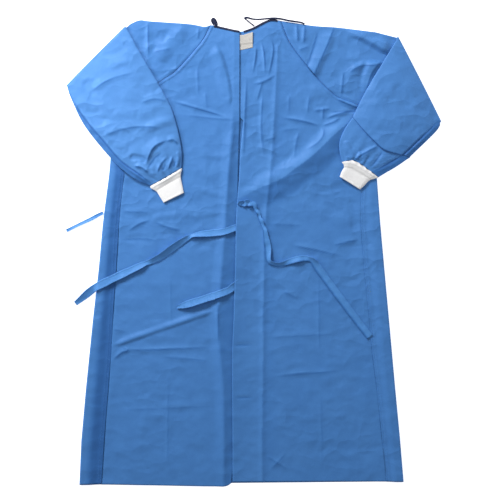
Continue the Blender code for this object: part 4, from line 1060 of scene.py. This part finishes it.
def make_binding(name, line, height):
    """A folded strip over a neck edge: on top, round the edge, and underneath."""
    radius, depth = 1.4, 3.6
    arc = [(radius * math.sin(a), radius * math.cos(a)) for a in np.linspace(0, math.pi, 9)]
    section = [(-depth, radius - 0.2), (-depth * 0.85, radius + 0.2), (-depth / 2, radius)]
    section += arc + [(-depth / 2, -radius), (-depth, -radius)]
    path = np.array(line, float)
    path[0] = path[0] + (path[1] - path[0]) * 0.5
    path = smooth(path, 10)
    rows = []
    for i, point in enumerate(path):
        way = path[min(i + 1, len(path) - 1)] - path[max(i - 1, 0)]
        way = way / np.linalg.norm(way)
        out = np.array((-way[1], way[0])) * math.copysign(1, way[0])
        z = float(height(*(point - out * 2)))
        rows.append([(*(point + out * (d - GAP)), z + h) for d, h in section])
    return loft_sheet(name, rows, BINDING, NAVY), np.array(rows)


def make_patch():
    """The hook-and-loop patch on the right panel's neck corner, its upper part doubled."""
    top, bottom = [(-50, 573), (-28, 573), (-3, 581)], [(-50, 532), (-30, 534), (-3, 540)]
    us, vs = np.linspace(0, 1, 30), np.linspace(0, 1, 30)
    grid = coons(bottom, top, [bottom[0], top[0]], [bottom[-1], top[-1]], us, vs)
    rows = []
    for line in grid:
        step = 1.2 / (1 + np.exp(-(line[:, 1] - 552 - line[:, 0] * 0.1) / 0.7))
        base = SECOND_PLY + 1.3 + 0.25 * lumps(line[:, 0], line[:, 1], 9, 71)
        rows.append(np.column_stack([line, base + step]))
    return loft_sheet("tab_closure", rows, 0.8, LOOP), np.array(rows)


def stitches(name, lines, cloth, material, node, length=2.6, pitch=4.0, width=0.55):
    """Rows of thread as small rounded bars that lie on the cloth."""
    points, faces = [], []
    for line in lines:
        line = np.array(line, float)
        total = np.linalg.norm(np.diff(line[:, :2], axis=0), axis=1).sum()
        for s in np.arange(pitch / 2, total - length, pitch):
            a, b = along(line, np.array([s, s + length]) / total)
            if line.shape[1] == 3:
                za, zb = a[2], b[2]
            else:
                za, zb = cloth.top(*a[:2]), cloth.top(*b[:2])
            if abs(za - zb) > 2.0:
                continue
            a, b = np.array((a[0], a[1], za)), np.array((b[0], b[1], zb))
            way = (b - a) / np.linalg.norm(b - a)
            side = np.array((-way[1], way[0], 0)) * width / 2
            up = np.array((0, 0, 0.32))
            first = len(points)
            for p, grow in ((a, 0.4), (a + way * 0.5, 1.0), (b - way * 0.5, 1.0), (b, 0.4)):
                points += [p - side * grow - up * 0.4, p - side * 0.6 * grow + up * grow,
                           p + side * 0.6 * grow + up * grow, p + side * grow - up * 0.4]
            for r in range(3):
                at = first + 4 * r
                faces += [(at + c, at + (c + 1) % 4, at + 4 + (c + 1) % 4, at + 4 + c)
                          for c in range(4)]
            faces += [(first + 3, first + 2, first + 1, first),
                      (first + 12, first + 13, first + 14, first + 15)]
    thing = add_object(name, points, faces, material)
    return dress(thing, node)


def new_material(name, colour, roughness):
    """A Principled material and its node tree."""
    material = bpy.data.materials.new(name)
    material.use_nodes = True
    tree = material.node_tree
    shader = tree.nodes["Principled BSDF"]
    shader.inputs["Base Color"].default_value = (*colour, 1.0)
    shader.inputs["Roughness"].default_value = roughness
    shader.inputs["Metallic"].default_value = 0.0
    material.diffuse_color = (*colour, 1.0)
    return material, tree, shader


def cloth_material(name, colour, deep, roughness, dots, depth, sheen, mottle=0.5, crinkle=0.0,
                   shade_hue=(1.0, 1.0, 1.0)):
    """Bonded or woven cloth: mottled colour, fibres and bonding dots as a fine relief. Shade hue is how
    fast its red, green and blue fall where its painted light is lower, in painted shade."""
    material, tree, shader = new_material(name, colour, roughness)
    nodes, links = tree.nodes, tree.links
    place = nodes.new("ShaderNodeTexCoord")
    cloud = nodes.new("ShaderNodeTexNoise")
    cloud.inputs["Scale"].default_value = 38.0
    cloud.inputs["Detail"].default_value = 5.0
    cloud.inputs["Roughness"].default_value = 0.62
    fibre = nodes.new("ShaderNodeTexNoise")
    fibre.inputs["Scale"].default_value = 620.0
    fibre.inputs["Detail"].default_value = 3.0
    dot = nodes.new("ShaderNodeTexVoronoi")
    dot.inputs["Scale"].default_value = dots
    dot.inputs["Randomness"].default_value = 0.25
    for node in (cloud, fibre, dot):
        links.new(place.outputs["Object"], node.inputs["Vector"])
    both = nodes.new("ShaderNodeMix")
    both.data_type = "FLOAT"
    both.inputs["Factor"].default_value = 0.45
    links.new(cloud.outputs["Fac"], both.inputs["A"])
    links.new(fibre.outputs["Fac"], both.inputs["B"])
    spread = nodes.new("ShaderNodeMapRange")
    spread.inputs["From Min"].default_value = 0.5 - mottle / 2
    spread.inputs["From Max"].default_value = 0.5 + mottle / 2
    links.new(both.outputs["Result"], spread.inputs["Value"])
    tint = nodes.new("ShaderNodeMix")
    tint.data_type = "RGBA"
    tint.inputs["A"].default_value = (*deep, 1.0)
    tint.inputs["B"].default_value = (*colour, 1.0)
    links.new(spread.outputs["Result"], tint.inputs["Factor"])
    # The painted light attribute: painted shade and painted highlight multiply the colour
    painted_light = nodes.new("ShaderNodeAttribute")
    painted_light.attribute_name = "painted_light"
    shade_by_channel = nodes.new("ShaderNodeVectorMath")
    shade_by_channel.operation = "POWER"
    shade_by_channel.inputs[1].default_value = shade_hue
    links.new(painted_light.outputs["Fac"], shade_by_channel.inputs[0])
    painted_colour = nodes.new("ShaderNodeVectorMath")
    painted_colour.operation = "MULTIPLY"
    links.new(tint.outputs["Result"], painted_colour.inputs[0])
    links.new(shade_by_channel.outputs["Vector"], painted_colour.inputs[1])
    links.new(painted_colour.outputs["Vector"], shader.inputs["Base Color"])
    rough = nodes.new("ShaderNodeMapRange")
    rough.inputs["To Min"].default_value = roughness - 0.08
    rough.inputs["To Max"].default_value = roughness + 0.08
    links.new(fibre.outputs["Fac"], rough.inputs["Value"])
    links.new(rough.outputs["Result"], shader.inputs["Roughness"])
    relief = nodes.new("ShaderNodeMath")
    relief.operation = "ADD"
    links.new(dot.outputs["Distance"], relief.inputs[0])
    links.new(fibre.outputs["Fac"], relief.inputs[1])
    bump = nodes.new("ShaderNodeBump")
    bump.inputs["Strength"].default_value = 0.5
    bump.inputs["Distance"].default_value = depth
    links.new(relief.outputs["Value"], bump.inputs["Height"])
    links.new(bump.outputs["Normal"], shader.inputs["Normal"])
    if crinkle:
        stretch = nodes.new("ShaderNodeMapping")
        stretch.inputs["Scale"].default_value = (0.7, 1.1, 1.0)
        links.new(place.outputs["Object"], stretch.inputs["Vector"])
        crease = nodes.new("ShaderNodeTexNoise")
        crease.noise_type = "RIDGED_MULTIFRACTAL"
        crease.inputs["Scale"].default_value = 26.0
        crease.inputs["Detail"].default_value = 6.0
        links.new(stretch.outputs["Vector"], crease.inputs["Vector"])
        wander = nodes.new("ShaderNodeTexNoise")
        wander.inputs["Scale"].default_value = 16.0
        wander.inputs["Detail"].default_value = 2.0
        links.new(place.outputs["Object"], wander.inputs["Vector"])
        bent = nodes.new("ShaderNodeVectorMath")
        bent.operation = "MULTIPLY_ADD"
        bent.inputs[1].default_value = (0.07, 0.07, 0.0)
        links.new(wander.outputs["Color"], bent.inputs[0])
        links.new(stretch.outputs["Vector"], bent.inputs[2])
        facet = nodes.new("ShaderNodeTexVoronoi")
        facet.inputs["Scale"].default_value = 26.0
        links.new(bent.outputs["Vector"], facet.inputs["Vector"])
        folded = nodes.new("ShaderNodeBump")
        folded.inputs["Distance"].default_value = crinkle
        uneven = nodes.new("ShaderNodeTexNoise")
        uneven.inputs["Scale"].default_value = 5.0
        links.new(place.outputs["Object"], uneven.inputs["Vector"])
        where = nodes.new("ShaderNodeMapRange")
        where.inputs["From Min"].default_value = 0.38
        where.inputs["From Max"].default_value = 0.66
        where.inputs["To Min"].default_value = 0.15
        where.inputs["To Max"].default_value = 1.0
        links.new(uneven.outputs["Fac"], where.inputs["Value"])
        axes = nodes.new("ShaderNodeSeparateXYZ")
        links.new(place.outputs["Object"], axes.inputs["Vector"])
        chest = nodes.new("ShaderNodeMapRange")
        chest.inputs["From Min"].default_value = -0.25
        chest.inputs["From Max"].default_value = 0.30
        chest.inputs["To Min"].default_value = 0.5
        chest.inputs["To Max"].default_value = 1.0
        links.new(axes.outputs["Y"], chest.inputs["Value"])
        strength = nodes.new("ShaderNodeMath")
        strength.operation = "MULTIPLY"
        links.new(where.outputs["Result"], strength.inputs[0])
        links.new(chest.outputs["Result"], strength.inputs[1])
        links.new(strength.outputs["Value"], folded.inputs["Strength"])
        links.new(facet.outputs["Distance"], folded.inputs["Height"])
        paper = nodes.new("ShaderNodeBump")
        links.new(folded.outputs["Normal"], paper.inputs["Normal"])
        paper.inputs["Strength"].default_value = 0.5
        paper.inputs["Distance"].default_value = 0.6 * crinkle
        links.new(crease.outputs["Fac"], paper.inputs["Height"])
        links.new(paper.outputs["Normal"], bump.inputs["Normal"])
    shader.inputs["Sheen Weight"].default_value = sheen
    shader.inputs["Sheen Roughness"].default_value = 0.45
    shader.inputs["Specular IOR Level"].default_value = 0.35
    return material


# How fast red, green and blue fall in painted shade, so that the blue cloth goes deeper in it
PAINTED_SHADE_HUE = (1.7, 1.0, 0.65)
BLUE = cloth_material("sms_nonwoven", (0.070, 0.252, 0.640), (0.055, 0.208, 0.560), 0.60, 850.0,
                      0.00012, 0.10, crinkle=0.0052, shade_hue=PAINTED_SHADE_HUE)
TAPE = cloth_material("nonwoven_tie", (0.088, 0.300, 0.720), (0.068, 0.250, 0.640), 0.60, 850.0,
                      0.00012, 0.10, crinkle=0.0010, shade_hue=PAINTED_SHADE_HUE)
KNIT_WHITE = cloth_material("rib_knit", (0.97, 0.965, 0.965), (0.92, 0.915, 0.92), 0.88, 1100.0,
                            0.00025, 0.25, 0.8)
NAVY = cloth_material("navy_tape", (0.014, 0.022, 0.075), (0.008, 0.013, 0.045), 0.62, 1400.0,
                      0.0002, 0.15)
LOOP = cloth_material("loop_pile", (0.66, 0.635, 0.60), (0.52, 0.50, 0.47), 0.9, 700.0, 0.0006,
                      0.35, 0.9)
THREAD_BLUE = new_material("thread_blue", (0.08, 0.26, 0.63), 0.55)[0]
THREAD_NAVY = new_material("thread_navy", (0.02, 0.03, 0.10), 0.55)[0]
THREAD_WHITE = new_material("thread_white", (0.80, 0.80, 0.82), 0.6)[0]

front = dress(make_front_panel(), "front_panel")
back_left = dress(make_left_panel(), "back_panel_left")
back_right = dress(make_right_panel(), "back_panel_right")
# The left forearm is made 1.15 times lighter as painted light, the right one 1.02 times
arm_left = dress(make_sleeve("cloth_sleeve_left", SLEEVE_LEFT, FOREARM_LEFT,
                             CREASES_UPPER_ARM_LEFT, (CREASES_FOREARM_LEFT,), 81, 1.15,
                             smooth(FOREARM_SEAM_LEFT)),
                 "sleeve_left")
arm_right = dress(make_sleeve("cloth_sleeve_right", SLEEVE_RIGHT, FOREARM_RIGHT,
                              CREASES_UPPER_ARM_RIGHT,
                              (CREASES_FOREARM_RIGHT, CREASES_WRIST_RIGHT), 91, 1.02,
                              smooth(FOREARM_SEAM_RIGHT)),
                  "sleeve_right")
knit_left = dress(make_cuff("knit_cuff_left", CUFF_LEFT, SLEEVE_LEFT["patches"][-1]["end"], 1, 0.6),
                  "cuff_left")
knit_right = dress(make_cuff("knit_cuff_right", CUFF_RIGHT, SLEEVE_RIGHT["patches"][-1]["end"], 2, 1.5),
                   "cuff_right")
hem_left, hem_left_rows = make_binding("tape_neck_left", NECK_LEFT, left_height)
hem_right, hem_right_rows = make_binding("tape_neck_right", NECK_RIGHT[:6], right_height)
dress(hem_left, "neck_binding_left")
dress(hem_right, "neck_binding_right")
end_left = dress(make_neck_tie("tape_tie_left", NECK_TIE_LEFT)[0], "neck_tie_left")
end_right = dress(make_neck_tie("tape_tie_right", NECK_TIE_RIGHT)[0], "neck_tie_right")
tab, tab_rows = make_patch()
dress(tab, "closure_patch")

cloth = Cloth([front, back_left, back_right, arm_left, arm_right])
under = Cloth([front, back_left])
# Each tie with the cloth it rests on, its node, its seed, and the side of its painted shadow edge
TIES = (("tape_waist_upper_left", TIE_UPPER_LEFT, under, "waist_tie_upper_left", 101, 0),
        ("tape_waist_lower_left", TIE_LOWER_LEFT, under, "waist_tie_lower_left", 103, 0),
        ("tape_waist_right", TIE_RIGHT, cloth, "waist_tie_right", 105, -1),
        ("tape_waist_side", TIE_SIDE, cloth, "waist_tie_side", 107, 0))
tie_stitches = []
for name, rows, below, node, seed, painted_shadow_side in TIES:
    piece, sections = make_ribbon(name, rows, below, seed, painted_shadow_side)
    dress(piece, node)
    tie_stitches.append([sections[4:-4, k] + (0, 0, WALL / 2) for k in (2, 10)])

# Stitching
raglan_left, raglan_right = smooth(RAGLAN_LEFT), smooth(RAGLAN_RIGHT)
stitches("thread_back_left", [offset_points(raglan_left, d) for d in (3.5, 8.5)],
         Cloth([back_left]), THREAD_BLUE, "back_panel_left")
stitches("thread_back_right", [offset_points(raglan_right, -d) for d in (3.5, 8.5)],
         Cloth([back_right]), THREAD_BLUE, "back_panel_right")
side_lines = [seam_line("left") - (3.5, 0), seam_line("left") - (8.0, 0),
              seam_line("right") + (3.5, 0), seam_line("right") + (8.0, 0)]
stitches("thread_sides", side_lines, Cloth([front]), THREAD_BLUE, "front_panel")
for name, piece, knots, node in (
        ("thread_sleeve_left", arm_left, FOREARM_SEAM_LEFT, "sleeve_left"),
        ("thread_sleeve_right", arm_right, FOREARM_SEAM_RIGHT, "sleeve_right")):
    seam = smooth(knots)
    side = 1 if node == "sleeve_left" else -1
    stitches(name, [offset_points(seam, side * d) for d in (3.0, 8.0)], Cloth([piece]),
             THREAD_BLUE, node)
for (name, rows, below, node, seed, painted_shadow_side), lines in zip(TIES, tie_stitches):
    stitches("thread" + name[4:], lines, cloth, THREAD_BLUE, node, 2.0, 3.2, 0.4)
stitches("thread_tab", [tab_rows[1:-1, 2] + (0, 0, 0.4), tab_rows[1:-1, -3] + (0, 0, 0.4),
                        tab_rows[2, 1:-1] + (0, 0, 0.4), tab_rows[17, 1:-1] + (0, 0, 0.4)],
         cloth, THREAD_WHITE, "closure_patch", 1.8, 2.8, 0.45)
stitches("thread_neck_left", [hem_left_rows[:, 1] + (0, 0, 0.3)], cloth, THREAD_NAVY,
         "neck_binding_left", 1.8, 3.0, 0.4)
stitches("thread_neck_right", [hem_right_rows[:, 1] + (0, 0, 0.3)], cloth, THREAD_NAVY,
         "neck_binding_right", 1.8, 3.0, 0.4)

# Studio: a pale floor, a wide soft light beyond the left shoulder, and the camera overhead
bpy.ops.mesh.primitive_plane_add(size=8.0, location=(0, 0, 0))
floor = bpy.context.object
floor.name = "floor"
plain, tree, shader = new_material("studio_floor", (0.93, 0.93, 0.935), 0.9)
shader.inputs["Emission Color"].default_value = (1.0, 0.995, 1.0, 1.0)
shader.inputs["Emission Strength"].default_value = 0.8
floor.data.materials.append(plain)

light = bpy.data.lights.new("key", "AREA")
light.shape = "SQUARE"
light.size = 0.8
light.energy = 90.0
key = bpy.data.objects.new("key", light)
key.location = (-1.4, 2.4, 1.4)
key.rotation_euler = (Vector((-0.05, 0.25, 0.0)) - key.location).to_track_quat("-Z", "Y").to_euler()
bpy.context.scene.collection.objects.link(key)

fill = bpy.data.lights.new("fill", "AREA")
fill.shape = "SQUARE"
fill.size = 0.8
fill.energy = 4.0
soft_light = bpy.data.objects.new("fill", fill)
soft_light.location = (1.3, 1.0, 1.4)
soft_light.rotation_euler = (Vector((0.3, 0.1, 0.0))
                             - soft_light.location).to_track_quat("-Z", "Y").to_euler()
bpy.context.scene.collection.objects.link(soft_light)

low = bpy.data.lights.new("low", "AREA")
low.shape = "SQUARE"
low.size = 0.3
low.energy = 3.2
side_light = bpy.data.objects.new("low", low)
side_light.location = (-0.98, 0.48, 0.46)
side_light.rotation_euler = (Vector((-0.35, 0.38, 0.0))
                             - side_light.location).to_track_quat("-Z", "Y").to_euler()
bpy.context.scene.collection.objects.link(side_light)

world = bpy.data.worlds.new("studio")
world.use_nodes = True
world.node_tree.nodes["Background"].inputs["Color"].default_value = (0.96, 0.98, 1.0, 1.0)
world.node_tree.nodes["Background"].inputs["Strength"].default_value = 0.32
bpy.context.scene.world = world
bpy.context.scene.view_settings.view_transform = "Standard"

lens = bpy.data.cameras.new("overhead")
lens.lens = 81.5
camera = bpy.data.objects.new("overhead", lens)
camera.location = (-0.0106, 0.0040, 3.0)
bpy.context.scene.collection.objects.link(camera)
bpy.context.scene.camera = camera
